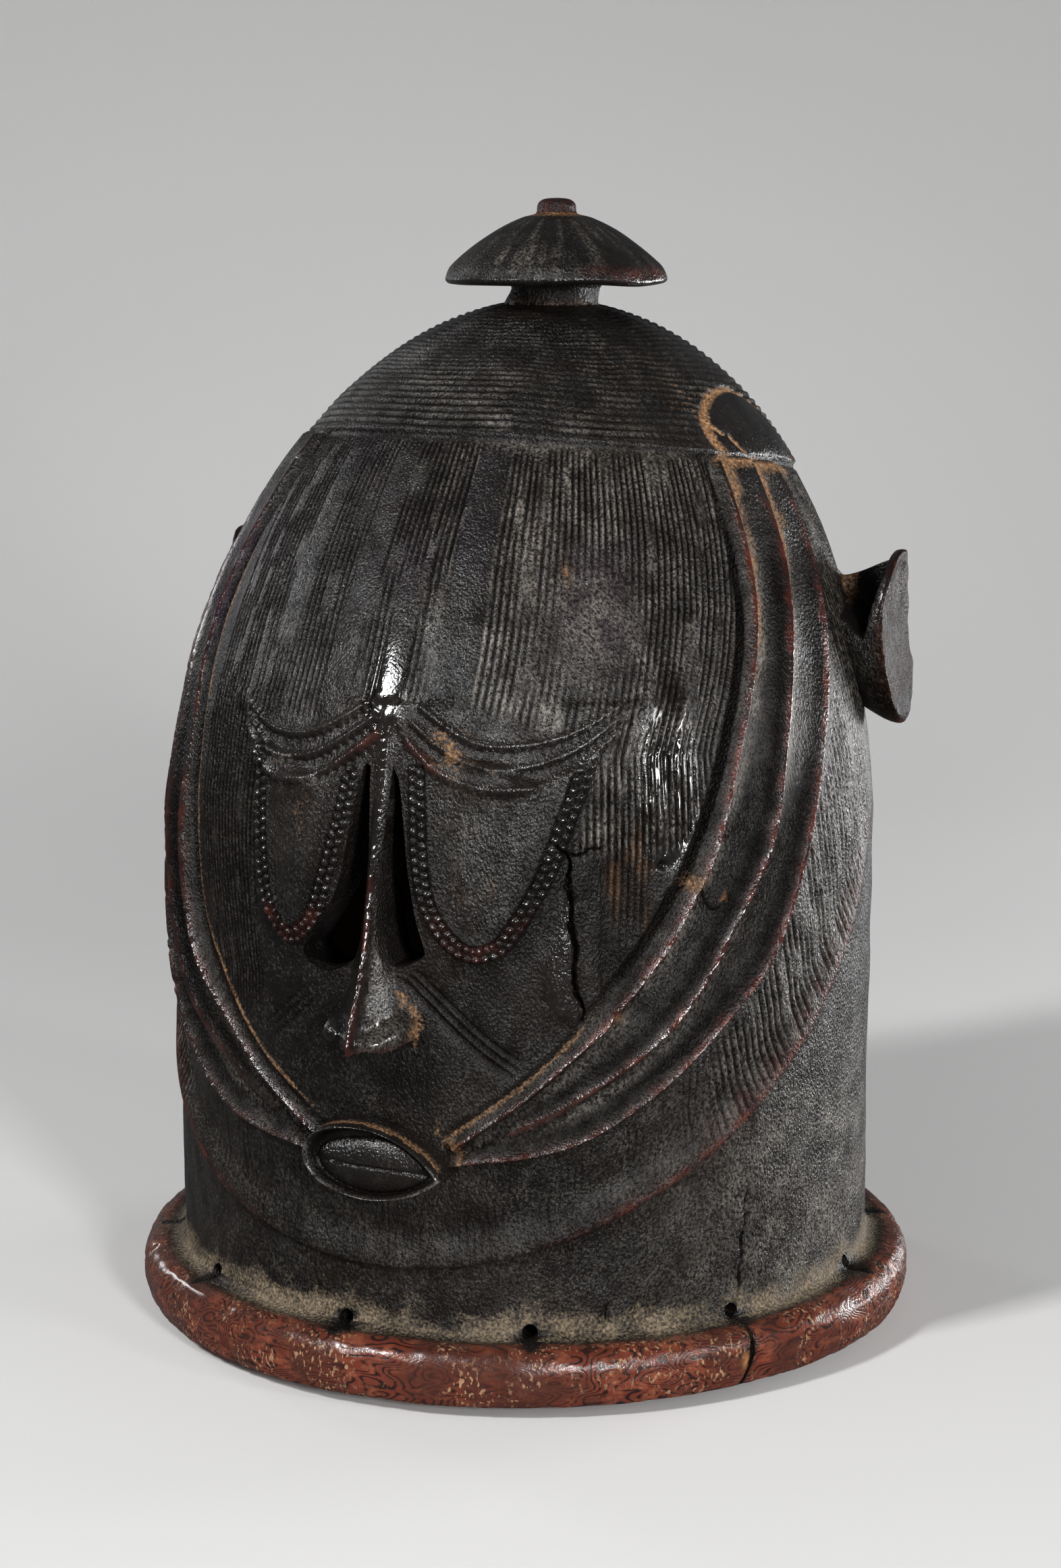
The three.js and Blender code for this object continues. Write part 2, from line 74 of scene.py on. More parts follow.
def ease(value, start, end):
    """0 below start, 1 above end, and a smooth rise between."""
    share = unit((value - start) / (end - start))
    return share * share * (3 - 2 * share)


def fade(value, start, end):
    """1 below start, 0 above end, and a smooth fall between."""
    return 1 - ease(value, start, end)


def mound(distance, half_width):
    """1 in the middle, falling smoothly to 0 at half_width."""
    share = unit(1 - (distance / half_width) ** 2)
    return share * share


def setback(height):
    return NECK_AXIS_Y + CROWN_SETBACK * ease(height, *SETBACK_HEIGHTS)


def dome_radius(height):
    rise = unit((height - DOME_SPRING) / DOME_RISE)
    return NECK_RADIUS * np.sqrt(1 - rise * rise)


def face_swell(angle, height):
    lift = ease(height, 40, 180) * fade(height, 240, 340)
    return FACE_SWELL * lift * fade(np.abs(angle), 0, FACE_SWELL_ANGLE)


def seat(angle, height, radius=None):
    """Points of the smooth outside, at an angle and a height."""
    reach = (dome_radius(height) if radius is None else radius) + face_swell(angle, height)
    turn = np.radians(angle)
    across = reach * np.sin(turn)
    depth = setback(height) - reach * np.cos(turn)
    return np.stack(np.broadcast_arrays(across, depth, height), axis=-1)


def curve_through(points, count):
    """A smooth line through a few points, as count points, by the Catmull-Rom rule."""
    knots = np.array(points, float)
    knots = np.vstack([2 * knots[0] - knots[1], knots, 2 * knots[-1] - knots[-2]])
    place = np.linspace(0, len(points) - 1, count)
    first = np.minimum(place.astype(int), len(points) - 2)
    part = (place - first)[:, None]
    a, b, c, d = (knots[first + k] for k in range(4))
    return 0.5 * (2 * b + (c - a) * part + (2 * a - 5 * b + 4 * c - d) * part**2
                  + (3 * b - a - 3 * c + d) * part**3)


# %% [markdown]
# Fine carving needs many vertices, but only where there is carving. The outside starts as one flat
# sheet of columns and rows, and is then rolled up. Columns crowd to the face, and rows crowd to the
# eyes and to the ribs of the cap. Rolling a sheet is simpler than subdividing a coarse mask, because
# every vertex keeps an angle and a height that the carving below can be written in.
# %% Columns and rows of the sheet
COLUMNS = 1150
COLUMN_SHARES = [0, 0.07, 0.19, 0.81, 0.93, 1]
COLUMN_ANGLES = [-180, -118, -68, 68, 118, 180]
ROW_STEPS = [(0, 0.8), (78, 0.45), (262, 0.95), (314, 0.5), (384, 0.5)]
CAP_EDGE = 328.5
CAP_TILT = 10 / 92
CAP_TILT_ANGLE = -15


def row_step(height):
    return next(step for start, step in reversed(ROW_STEPS) if height >= start)


def profile_rows():
    """Radius and height of each row: under the foot, round its edge, up the neck, over the dome."""
    rows = [(0.0, 0.0), (60.0, 0.0), (118.0, 0.0)]
    for radius, height in curve_through(FOOT_PROFILE, 52):
        rows.append((min(radius, 150), max(height, 0)))
    height = FOOT_TOP
    while height < DOME_SPRING:
        height = min(height + row_step(height), DOME_SPRING)
        rows.append((NECK_RADIUS, height))
    turn = 0.0
    while turn < math.pi / 2:
        speed = math.hypot(NECK_RADIUS * math.sin(turn), DOME_RISE * math.cos(turn))
        turn = min(turn + row_step(DOME_SPRING + DOME_RISE * math.sin(turn)) / speed, math.pi / 2)
        rows.append((NECK_RADIUS * math.cos(turn), DOME_SPRING + DOME_RISE * math.sin(turn)))
    return np.array(rows)


profile = profile_rows()
ROWS = len(profile) - 1
angle = np.interp(np.linspace(0, 1, COLUMNS + 1), COLUMN_SHARES, COLUMN_ANGLES)[None, :]
row_radius = profile[:, 0][:, None]
row_height = profile[:, 1][:, None]
print("sheet of", COLUMNS, "columns and", ROWS, "rows")

# %% [markdown]
# The sheet is rolled into the smooth outside, and each vertex gets the direction that points out of the
# wood. The rows of the cap are tilted with its edge, so that ribs and rows run the same way and the
# ribs stay crisp.
# %% Rolling the sheet
tilt_fade = ease(row_height, 288, CAP_EDGE) * fade(row_height, 345, 380)
tilt = CAP_TILT * row_radius * np.cos(np.radians(angle - CAP_TILT_ANGLE)) * tilt_fade
height = row_height + tilt
radius = np.where(row_height > DOME_SPRING, dome_radius(height), row_radius + 0 * angle)
skin = seat(angle + 0 * height, height, radius)
along_column = np.gradient(skin, axis=0)
along_row = np.gradient(skin, axis=1)
outward = np.cross(along_row, along_column)
outward /= np.maximum(np.linalg.norm(outward, axis=-1, keepdims=True), 1e-9)
outward[:3] = (0, 0, -1)
outward[-1] = (0, 0, 1)
angle = angle + 0 * height
row_height = row_height + 0 * height
skin = skin.astype(np.float32)
across = skin[..., 0]
print("smooth outside", skin.reshape(-1, 3).min(0).round(1), skin.reshape(-1, 3).max(0).round(1))

# %% [markdown]
# Carving is written as a relief: how far each vertex stands out of, or is cut into, the smooth
# outside. Two helpers do most of the work. One follows a line over the skin and tells each vertex how
# far away it is, on which side, and how far along. The other gives soft random variation, because
# nothing cut by hand is even. Paint is kept beside the relief, in layers over the same vertices.
# %% Following a line and soft variation
FAR = 1e3
TABLE = (61, 67)


def follow(line, reach, limit=None):
    """For each vertex: signed distance to a line over the skin, and length along it. Positive is to
    the right of the line's direction, seen from outside."""
    aside = np.full(angle.shape, FAR, np.float32)
    along = np.zeros(angle.shape, np.float32)
    near = np.all((skin > line.min(0) - reach) & (skin < line.max(0) + reach), axis=-1)
    if limit is not None:
        near &= limit
    spots = skin[near]
    best = np.full(len(spots), FAR * FAR, np.float32)
    side = np.ones(len(spots), np.float32)
    length = np.zeros(len(spots), np.float32)
    out = line - (0, NECK_AXIS_Y, 0)
    run = 0.0
    for start, end, normal in zip(line[:-1], line[1:], out):
        step = end - start
        size = np.linalg.norm(step)
        right = np.cross(step, normal * (1, 1, 0.25))
        offset = spots - start.astype(np.float32)
        part = unit(offset @ (step / size**2).astype(np.float32))
        offset -= part[:, None] * step.astype(np.float32)
        square = np.einsum("ij,ij->i", offset, offset)
        closer = square < best
        best[closer] = square[closer]
        side[closer] = np.sign(offset[closer] @ right.astype(np.float32))
        length[closer] = run + part[closer] * size
        run += size
    aside[near] = np.sqrt(best) * side
    along[near] = length
    return aside, along


def flip(aside, way):
    """The distances with their sign turned by way. Far ones stay far."""
    return np.where(np.abs(aside) < FAR / 2, way * aside, FAR)


def skin_line(points, count=44):
    """A smooth line over the skin through a few (angle, height) points."""
    path = curve_through(points, count)
    return seat(path[:, 0], path[:, 1])


def patchy(across, up, cell, seed):
    """Soft random variation from -1 to 1, in patches about cell wide."""
    table = np.random.default_rng(seed).uniform(-1, 1, TABLE)
    x = across / cell
    y = up / cell
    left = np.floor(x).astype(int)
    low = np.floor(y).astype(int)
    u = (x - left) ** 2 * (3 - 2 * (x - left))
    v = (y - low) ** 2 * (3 - 2 * (y - low))

    def row(at):
        at = at % TABLE[1]
        return table[left % TABLE[0], at] * (1 - u) + table[(left + 1) % TABLE[0], at] * u

    return row(low) * (1 - v) + row(low + 1) * v


arc = np.radians(angle) * NECK_RADIUS
relief = np.zeros(angle.shape)
# The layer deep is painted shade: it darkens grooves, cuts, hollows and faces turned away from the lamps,
# and dulls their shine.
PAINTS = ("worn", "dirt", "ash", "deep", "polish", "raw", "foot")
paint = {name: np.zeros(angle.shape) for name in PAINTS}


def lay(**coats):
    """Lays coats of paint, each where it is stronger than what is there."""
    for name, amount in coats.items():
        paint[name] = np.maximum(paint[name], amount)


def ragged(along, cell, seed):
    """Soft variation along a line only."""
    return patchy(along, along * 0, cell, seed)


def wave(turns):
    """A cosine from 0 to 1, with its tops at whole turns."""
    return 0.5 + 0.5 * np.cos(2 * np.pi * turns)


def off_mark(value, pitch):
    """Signed distance to the nearest of marks that are a pitch apart."""
    return np.mod(value, pitch) - pitch / 2


def blot(at_angle, at_height, size, wide=1, tall=1):
    """A round or oval spot on the block."""
    return mound(np.hypot((angle - at_angle) * wide, (height - at_height) * tall), size)


def mottle(cell, seed):
    """Soft variation over the block."""
    return patchy(arc, height, cell, seed)


def mottled(cell, seed):
    """The same as a strength, from 0.2 to 1."""
    return 0.6 + 0.4 * mottle(cell, seed)


# %% [markdown]
# The block was shaped with an adze and a knife and never measured, so its outside wanders a little.
# The carver's middle line leans too: it runs to the left of the mask at the brow. Everything that is
# mirrored on the face is placed from that leaning line.
# %% Wandering surface and leaning middle
MIDDLE_AT_MOUTH = -1.5
MIDDLE_AT_BROW = 6
neck_zone = ease(row_height, 26, 40)
relief += neck_zone * (0.55 * mottle(46, 1) + 0.22 * mottle(15, 2))
relief += neck_zone * 0.07 * patchy(arc, height * 0.6, 5.5, 3)


def middle(at_height):
    return MIDDLE_AT_MOUTH + (MIDDLE_AT_BROW - MIDDLE_AT_MOUTH) * ease(at_height, 130, 270)


# %% [markdown]
# Three ridges frame the face on each side, from the temple down to the mouth. Each is a saw tooth:
# a hollow channel sweeps up to a sharp crest and then drops into a crease. Inside the first ridge a
# deep groove parts it from the face. The distances to two neighbouring crests say where a vertex is
# in the channel between them, so one formula cuts every channel.
# %% Routes of the frame
INNER_ROUTE = [(56, 334), (55.6, 280), (50.6, 238), (45.4, 192), (39.2, 158), (25.6, 122), (11, 95)]
MIDDLE_ROUTE = [(67, 334), (66, 290), (61, 245), (57.5, 204), (52, 172), (42.5, 136), (29, 112), (20, 101)]
OUTER_ROUTE = [
    (77, 334), (77, 288), (72, 247), (66, 201), (61, 160), (52, 137), (41, 115), (28, 97.5), (10, 90),
]
CREST_TOP = 2.6
CREST_CHEEK = 6
DROP_WIDTH = 1.9
FLANK_WIDTH = 3.3
SLOT_WIDTH = 2.9
BREAK_HEIGHTS = (183.5, 187.5)
BREAK_SHIFT = 1.2
NARROWS_AT = (124, 150)
TEMPLE = (285, 312)


def frame_line(route, side):
    return skin_line([(side * half + float(middle(up)), up) for half, up in route])


def crest_height(along, seed, whole):
    """How high a crest stands beside each vertex, with its nicks."""
    level = CREST_TOP + (CREST_CHEEK - CREST_TOP) * fade(height, 190, 235)
    nicks = np.clip(patchy(along, along * 0 + seed, 2.6, seed), 0.35, 1) - 0.35
    return level * (1 - 0.22 * nicks) * whole


def channel(start, end, low, high, bulge):
    """A sharp drop behind one crest, then a hollow that sweeps up to the next."""
    width = np.maximum(start - end, 1)
    share = unit(start / width)
    drop = low * fade(start, 0, DROP_WIDTH)
    rise = high * unit((share - 0.16) / 0.84) ** 2.4
    dip = unit(width / 14) * np.sin(np.pi * share)
    return drop + rise - dip + bulge * np.sin(np.pi * share)


def cut_frame(side):
    """One side of the frame. Returns its relief and the distances to its three crests."""
    half = side * angle > -25
    apart = []
    for route in (INNER_ROUTE, MIDDLE_ROUTE, OUTER_ROUTE):
        aside, along = follow(frame_line(route, side), reach=34, limit=half)
        apart.append((flip(aside, -side), along))
    (first, first_along), (second, second_along), (third, third_along) = apart
    if side > 0:
        broken_off = fade(height, *BREAK_HEIGHTS) * ease(height, 139, 146)
        first = first + BREAK_SHIFT * broken_off
        apart[0] = (first, first_along)
    total = second_along.max()
    low_rib = 0.42 + 0.58 * ease(height, *NARROWS_AT)
    crest_1 = crest_height(first_along, 11 + side, low_rib)
    crest_2 = crest_height(second_along, 21 + side, fade(second_along, total * 0.7, total))
    crest_3 = crest_height(third_along, 31 + side, 0.9)
    bulge = 2.1 * ease(height, 288, 322)
    flank_width = FLANK_WIDTH * (0.5 + 0.5 * ease(height, *NARROWS_AT))
    slot_deep = (0.7 + 3.1 * ease(height, 146, 200)) * (1 - 0.7 * ease(height, 290, 325))
    flank = crest_1 * unit(1 + first / flank_width) ** 1.3
    slot = slot_deep * mound(first + flank_width + 0.8 * SLOT_WIDTH, SLOT_WIDTH)
    lip = 0.35 * mound(first + flank_width + 5.4, 2.0)
    made = np.zeros(angle.shape)
    made = np.where((first < 0) & (first > -13), flank - slot + lip, made)
    between = (first >= 0) & (second < 0) & (second > -60)
    made = np.where(between, channel(first, second, crest_1, crest_2, bulge), made)
    beyond = (second >= 0) & (second < 60) & (third < 0)
    made = np.where(beyond, channel(second, third, crest_2, crest_3, bulge), made)
    made = np.where((third >= 0) & (third < 20), crest_3 * fade(third, 0, 2.6), made)
    below_cap = fade(row_height, CAP_EDGE - 1.2, CAP_EDGE)
    return made * below_cap * (np.abs(angle) > 5), first, second, third, apart


frame_sides = {side: cut_frame(side) for side in (-1, 1)}
for side, (made, *_) in frame_sides.items():
    relief += made
    print("frame, side", side, "from", made.min().round(2), "to", made.max().round(2), "mm")

# %% [markdown]
# The frame stands highest, so hands and shelves rub it first. Its crests are worn through to the red
# wood and polished, while tan dust lies beside them. In each channel, grey ash and painted light lie on
# the half that faces the side lamps, and painted shade darkens the slope up to the next crest and the
# slot inside the first ridge. The mask's left side is worn most, which is how the photograph shows it.
# %% Wear, dirt, painted light and painted shade of the frame
# %% Wear, dirt and grime of the frame
CREST_WEAR = (0.8, 0.85, 1.0)
CREST_GLOSS = ((0.8, 1.0), (1.0, 1.4), (0.7, 1.1))
slot_at = FLANK_WIDTH * (0.5 + 0.5 * ease(height, *NARROWS_AT)) + 0.75 * SLOT_WIDTH
for side, (made, first, second, third, apart) in frame_sides.items():
    below_cap = row_height < CAP_EDGE
    for number, (aside, along) in enumerate(apart):
        uneven = 0.75 + 0.3 * patchy(along, height, 7, 41 + number)
        strength = CREST_WEAR[number] * (1 if side > 0 else 0.5)
        upper = fade(height, 306, 322)
        lower = 0.55 + 0.45 * ease(height, 108, 135)
        lay(worn=0.9 * strength * uneven * mound(aside + 0.3, 1.25) * below_cap * upper * lower)
        gloss, gloss_width = CREST_GLOSS[number]
        lay(polish=gloss * mound(aside + 0.2, gloss_width) * below_cap)
        if number < 2:
            top_dust = ease(height, 222, 285) if side > 0 else 0.25 * ease(height, 228, 292)
            dusty = np.maximum(top_dust, 0.2 * ease(height, 110, 150))
            spread = 2.0 + 1.5 * ease(height, 262, 322)
            dusting = mound(aside - 3.6, spread) * (0.72 + 0.45 * mottle(5, 51))
            lay(dirt=unit(dusting) * dusty * below_cap)
            # Grey ash beside the crest, also painted light: this half of the channel faces the side lamps.
            lay(ash=(0.4 + 0.35 * ease(height, 180, 240)) * mound(aside - 4.6, 4.2) * below_cap)
    # Painted shade on the slope that rises to the next crest, which faces away from the lamps.
    for next_crest in (second, third):
        lay(deep=0.9 * mound(next_crest + 4.4, 4.2) * below_cap * fade(height, *TEMPLE))
    # Painted shadow in the deep slot inside the first ridge.
    in_slot = mound(first + slot_at, 3.1) * ease(height, 140, 165)
    lay(deep=in_slot * (1 - 0.6 * ease(height, 290, 320)))
    lay(ash=0.12 * (first < -1) * (first > -FLANK_WIDTH) * (side > 0))
left_gap = frame_sides[-1][1]
right_gap = frame_sides[1][1]
gap_dirt = mottled(5, 52) * mound(left_gap + slot_at + 3.2, 1.5)
lay(dirt=unit(gap_dirt) * ease(height, 96, 112) * fade(height, *TEMPLE) * 0.8)
right_crease = mound(right_gap + slot_at, 1.4) * fade(height, 134, 152)
lay(dirt=0.42 * right_crease * ease(height, 92, 98))

# %% [markdown]
# Below the frame a beard line runs round the jaw. It is one more saw tooth: the panel above swells to
# a soft roll and drops to the neck. Fine upright cuts in the panel stand for the beard.
# %% Beard line
BEARD_LOW = 49.5
BEARD_CURVE = 0.0145
BEARD_HALF = 98
BEARD_MIDDLE = -3
BEARD_ROLL = 2.4
BEARD_PITCH = 2.7
halves = np.linspace(-BEARD_HALF, BEARD_HALF, 90)
beard_line = seat(halves + BEARD_MIDDLE, BEARD_LOW + BEARD_CURVE * halves**2)
beard, _ = follow(beard_line, reach=26)
beard = flip(beard, -1)
beard_ends = ease(BEARD_HALF - np.abs(angle - BEARD_MIDDLE), -2, 14)
above = (beard >= 0) & (beard < 26)
below = (beard < 0) & (beard > -8)
roll = np.where(above, BEARD_ROLL * fade(beard, 0, 13) - 0.7 * mound(beard - 13, 9), 0)
roll = np.where(below, BEARD_ROLL * fade(-beard, 0, 1.3), roll)
relief += roll * beard_ends
lay(worn=0.55 * mound(beard - 0.8, 2.6) * beard_ends * ease(np.abs(angle), 18, 50))
frame_third = np.where(angle > 0, frame_sides[1][3], frame_sides[-1][3])
in_panel = ease(frame_third, 3, 7) * (frame_third < FAR / 2) * ease(beard, 1.5, 5) * (beard < FAR / 2)
in_panel = in_panel * fade(height, 150, 190) * fade(np.abs(angle), 46, 54)
beard_cuts = mound(off_mark(arc + 1.2 * mottle(12, 61), BEARD_PITCH), 0.6)
beard_cuts = beard_cuts * ease(patchy(arc, height * 0.35, 4.2, 62), -0.25, 0.5)
relief -= 0.2 * beard_cuts * in_panel
# Painted shade in the beard cuts.
lay(deep=0.75 * beard_cuts * in_panel)
# Grey ash in the panel, also painted light and shade: faint under the mouth, where its shadow falls, and
# stronger towards the lit right side.
lay(ash=(0.08 + 0.3 * ease(angle, 25, 70)) * (1 - beard_cuts) * in_panel)
print("beard line stands", roll.max().round(2), "mm")

# %% [markdown]
# The forehead is scored with narrow grooves, cut with the corner of a chisel, which follow the sides
# of the face and draw together towards the cap. They leave a few smooth strips between them and fade
# where hands have worn them. Real grooves in the mesh are needed, because the light rakes across
# them. The same tool was used, less carefully, on the sides and back.
# %% Forehead grooves
GROOVES_ACROSS = 84
SMOOTH_STRIPS = [
    (-0.62, 0.055, 268, 330), (-0.33, 0.06, 240, 330),
    (0.06, 0.075, 236, 330), (-0.145, 0.045, 232, 290),
]


def face_half(at_height, side):
    """Half the face's width in degrees, from the leaning middle to the groove beside the frame."""
    if side < 0:
        return np.interp(at_height, [150, 190, 212, 258, 300, 334], [33.5, 40, 43, 46, 50, 55.5])
    return np.interp(at_height, [150, 190, 212, 238, 280, 334], [34.5, 41.4, 44.4, 46.6, 52, 55.5])


GROOVES_UPRIGHT_BELOW = 232
under_cap = fade(row_height, CAP_EDGE - 3, CAP_EDGE - 1)
from_middle = angle - middle(height)
half_width = np.where(from_middle < 0, face_half(height, -1), face_half(height, 1))
share = from_middle / half_width
on_face = fade(np.abs(share), 0.975, 1.0) * under_cap
held = np.where(from_middle > 0, np.maximum(height, GROOVES_UPRIGHT_BELOW), height)
held_share = (angle - middle(held)) / np.where(from_middle < 0, face_half(held, -1), face_half(held, 1))
groove_phase = held_share * GROOVES_ACROSS / 2 + 0.3 * patchy(share * 60, height, 30, 71)
groove = wave(groove_phase) ** 1.15
number = np.floor(groove_phase + 0.5)
broken = ease(patchy(number * 9.7, height, 13, 72), -0.75, -0.1)
smooth = np.zeros(angle.shape)
for place, half, low, high in SMOOTH_STRIPS:
    strip = fade(np.abs(share - place), half * 0.7, half) * ease(height, low - 12, low + 6)
    smooth = np.maximum(smooth, strip * fade(height, high, high + 8))
worn_patch = mound(share - 0.46, 0.24) * mound(height - 276, 34)
smooth = np.maximum(smooth, 0.8 * worn_patch)
brow_line = np.interp(share, [-0.55, -0.3, -0.06, 0.12, 0.4, 0.62], [243, 239, 250, 248, 239, 246])
above_brow = ease(height, brow_line - 1, brow_line + 5)
outside_brow = ease(np.abs(share + 0.02), 0.56, 0.62)
cheek_side = outside_brow * ease(height, 196, 204)
left_cheek = (share < 0) * outside_brow * ease(height, 128, 150)
scored = np.maximum(np.maximum(above_brow, cheek_side), left_cheek) * on_face * (1 - smooth)
depth = 0.92 + 0.22 * patchy(share * 50, height, 24, 73)
depth = depth * (0.6 + 0.4 * ease(share, -0.75, 0.1))
crest_chips = ease(patchy(arc * 1.3, height * 0.8, 2.4, 77), 0.1, 0.8) * ease(share, -0.25, 0.1)
relief -= (depth * groove + 0.35 * crest_chips * (1 - groove)) * scored * broken
# Painted shade in the grooves.
lay(deep=unit(1.25 * groove) * scored * broken)
ash_share = np.interp(share, [-1, -0.2, -0.02, 0.1, 0.45, 1], [0.14, 0.24, 0.6, 1.0, 0.95, 0.7])
lay(ash=ash_share * (1 - groove) * scored * (0.7 + 0.4 * mottle(9, 74)))
root_gloss = blot(-1.4, 252, 16, 3.0, 0.5)
cheek_gloss = mound(angle - 42, 8) * ease(height, 188, 200) * fade(height, 250, 275)
lay(polish=unit(1.3 * np.maximum(root_gloss, cheek_gloss)) * on_face)
lay(polish=0.26 * on_face * ease(height, 200, 240))
lay(polish=0.3 * smooth * on_face)
lay(dirt=0.62 * blot(25.6, 293, 4.2, 1.6, 0.7) * mottled(2.5, 78))
lay(ash=0.85 * worn_patch * mottled(3, 79))
print("forehead grooves are", round(2 * np.radians(50) * 118 / GROOVES_ACROSS, 2), "mm apart")

# %% [markdown]
# The sides of the head carry the same kind of upright grooves, wider apart and less deep, down to the
# beard line. The back is a guess, as the photograph doesn't show it: broad shallow strokes of the adze.
# Grey ash hangs on the neck, which is handled less than the face. Towards the viewer's right it is
# also painted light, where the lamps fall on the neck. Painted shade darkens the grooves.
# %% Grooves of the sides and the back
SIDE_PITCH = 1.4
BACK_PITCH = 4.2
# Grey ash on the neck, and painted light: it grows towards the viewer's right, where the lamps light the
# neck.
neck_ash = (0.12 + 0.8 * ease(angle, 30, 75)) * neck_zone * fade(height, 50, 175)
lay(ash=neck_ash * fade(angle, 92, 125) * mottled(9, 80))
head_side = ease(np.abs(frame_third), 4, 9) * (frame_third > 0) * (frame_third < FAR / 2)
head_side = np.maximum(head_side, np.abs(angle) > 88) * fade(np.abs(angle), 98, 106)
head_side = head_side * ease(beard, 1, 4) * np.maximum(ease(height, 120, 150), ease(np.abs(angle), 44, 54))
head_side = head_side * under_cap
side_phase = (angle + 0.1 * np.sign(angle) * (height - 240)) / SIDE_PITCH + 0.2 * mottle(34, 75)
side_groove = wave(side_phase) ** 1.2
side_broken = ease(patchy(np.floor(side_phase + 0.5) * 9.7, height, 15, 76), -0.9, -0.2)
relief -= 0.6 * side_groove * head_side * side_broken
# Painted shade in the side grooves.
lay(deep=0.95 * side_groove * head_side * side_broken)
lay(worn=0.3 * (1 - side_groove) * head_side * mound(beard - 4, 9) * side_broken)
lay(ash=0.7 * (1 - side_groove) * head_side)
back = ease(np.abs(angle), 100, 112) * ease(height, 50, 80) * under_cap
back_groove = wave(angle / BACK_PITCH + 0.3 * mottle(40, 76)) ** 1.6
back_groove = back_groove * (0.55 + 0.45 * patchy(arc, height * 0.3, 9, 177)) * back
relief -= 0.4 * back_groove
# Painted shade in the back grooves.
lay(deep=0.5 * back_groove)
lay(ash=0.35 * (back - back_groove) * mottled(14, 178))

# %% [markdown]
# A cap covers the crown. Its edge is a small step, higher over the brow than at the back, and rings
# of ribs run round it, parallel to the edge. Over the top of the frame lies an oval leaf on each side,
# smooth and outlined by a crease full of orange dirt.
# %% Cap and leaves
CAP_STEP = 1.6
RIB_PITCH = 3.3
LEAF_ANGLES = (-92, 84)
LEAF_HEIGHT = 336
LEAF_HALF = (32, 21)
steps_up = np.linalg.norm(np.diff(profile, axis=0), axis=1)
climb = np.concatenate([[0], np.cumsum(steps_up)])
edge_climb = np.interp(CAP_EDGE, profile[3:, 1], climb[3:])
up_cap = (climb - edge_climb)[:, None] + 0 * angle
relief += CAP_STEP * ease(up_cap, -0.5, 0.5) - 0.5 * mound(up_cap + 1.6, 1.6)
rib_phase = (up_cap + 0.8 * mottle(30, 81) + 0.25 * mottle(9, 84)) / RIB_PITCH
rib = wave(rib_phase) ** 1.3
rib_fade = ease(up_cap, 1.0, 3.0) * fade(up_cap, 74, 96)
rib_fade = rib_fade * (0.35 + 0.65 * ease(patchy(np.radians(angle) * 70, up_cap, 22, 82), -0.6, 0.3))
leaf_zone = np.zeros(angle.shape)
leaf_crease = np.zeros(angle.shape)
for leaf_angle in LEAF_ANGLES:
    heart = seat(np.array(leaf_angle), np.array(LEAF_HEIGHT)).ravel()
    turn = math.radians(leaf_angle)
    sideways = (skin - heart) @ np.array([math.cos(turn), math.sin(turn), 0])
    inwards = (skin - heart) @ np.array([math.sin(turn), -math.cos(turn), 0])
    rise = skin[..., 2] - heart[2]
    upwards = np.hypot(rise, inwards) * np.sign(rise)
    facing = np.cos(np.radians(angle - leaf_angle)) > 0.4
    oval = np.hypot(sideways / LEAF_HALF[0], upwards / LEAF_HALF[1])
    inner = fade(oval, 0.9, 1.0) * facing
    leaf_zone = np.maximum(leaf_zone, inner)
    inward = sideways * (1 if leaf_angle > 0 else -1)
    vein = mound(inward + 23 + 0.42 * upwards, 1.5) * ease(upwards, -17, -10) * fade(upwards, 8, 15)
    leaf_crease = np.maximum(leaf_crease, (mound(oval - 1.0, 0.12) + vein) * facing)
    relief += 1.5 * mound(oval, 1.0) * facing * ease(up_cap, 0, 1)
leaf_zone = leaf_zone * (up_cap > 0)
leaf_crease = unit(leaf_crease) * ease(up_cap, 0, 1.5)
ribbed = rib_fade * (1 - leaf_zone)
relief -= 0.75 * rib * ribbed + 0.9 * leaf_crease
lay(polish=0.3 * leaf_zone)
lay(polish=0.2 * (up_cap > 0))
# Painted shade in the grooves between the ribs.
lay(deep=0.85 * rib * ribbed)
# Grey ash on the rib crests, painted stronger towards the viewer's right, where the lamps catch them: ash
# and painted highlights.
painted_light_side = 0.45 + 0.55 * ease(angle, -25, 15)
rubbed_ribs = 0.25 + 0.75 * ease(mottle(7, 86) + 0.5 * mottle(2.2, 87), -0.2, 0.6)
lay(ash=0.8 * (1 - rib) * ribbed * painted_light_side * rubbed_ribs * fade(up_cap, 30, 80))
near_leaf = ease(angle, 30, 58) * fade(angle, 62, 90) * (up_cap > 2) * fade(up_cap, 40, 62)
lay(dirt=0.5 * near_leaf * (1 - rib) * ribbed * ease(mottle(6, 85), -0.3, 0.6))
lay(dirt=0.9 * leaf_crease * ease(angle, 0, 10))
lay(dirt=0.3 * leaf_crease * (angle < 0))
edge_dust = mound(up_cap + 3.2, 3.4) * ease(angle, -2, 10) * fade(angle, 44, 60)
lay(ash=edge_dust * mottled(4, 83))
temple_top = mound(up_cap + 3.5, 3.2) * ease(angle, 59, 64) * fade(angle, 88, 96)
lay(dirt=0.75 * temple_top)
print("cap has about", int(90 / RIB_PITCH), "ribs")

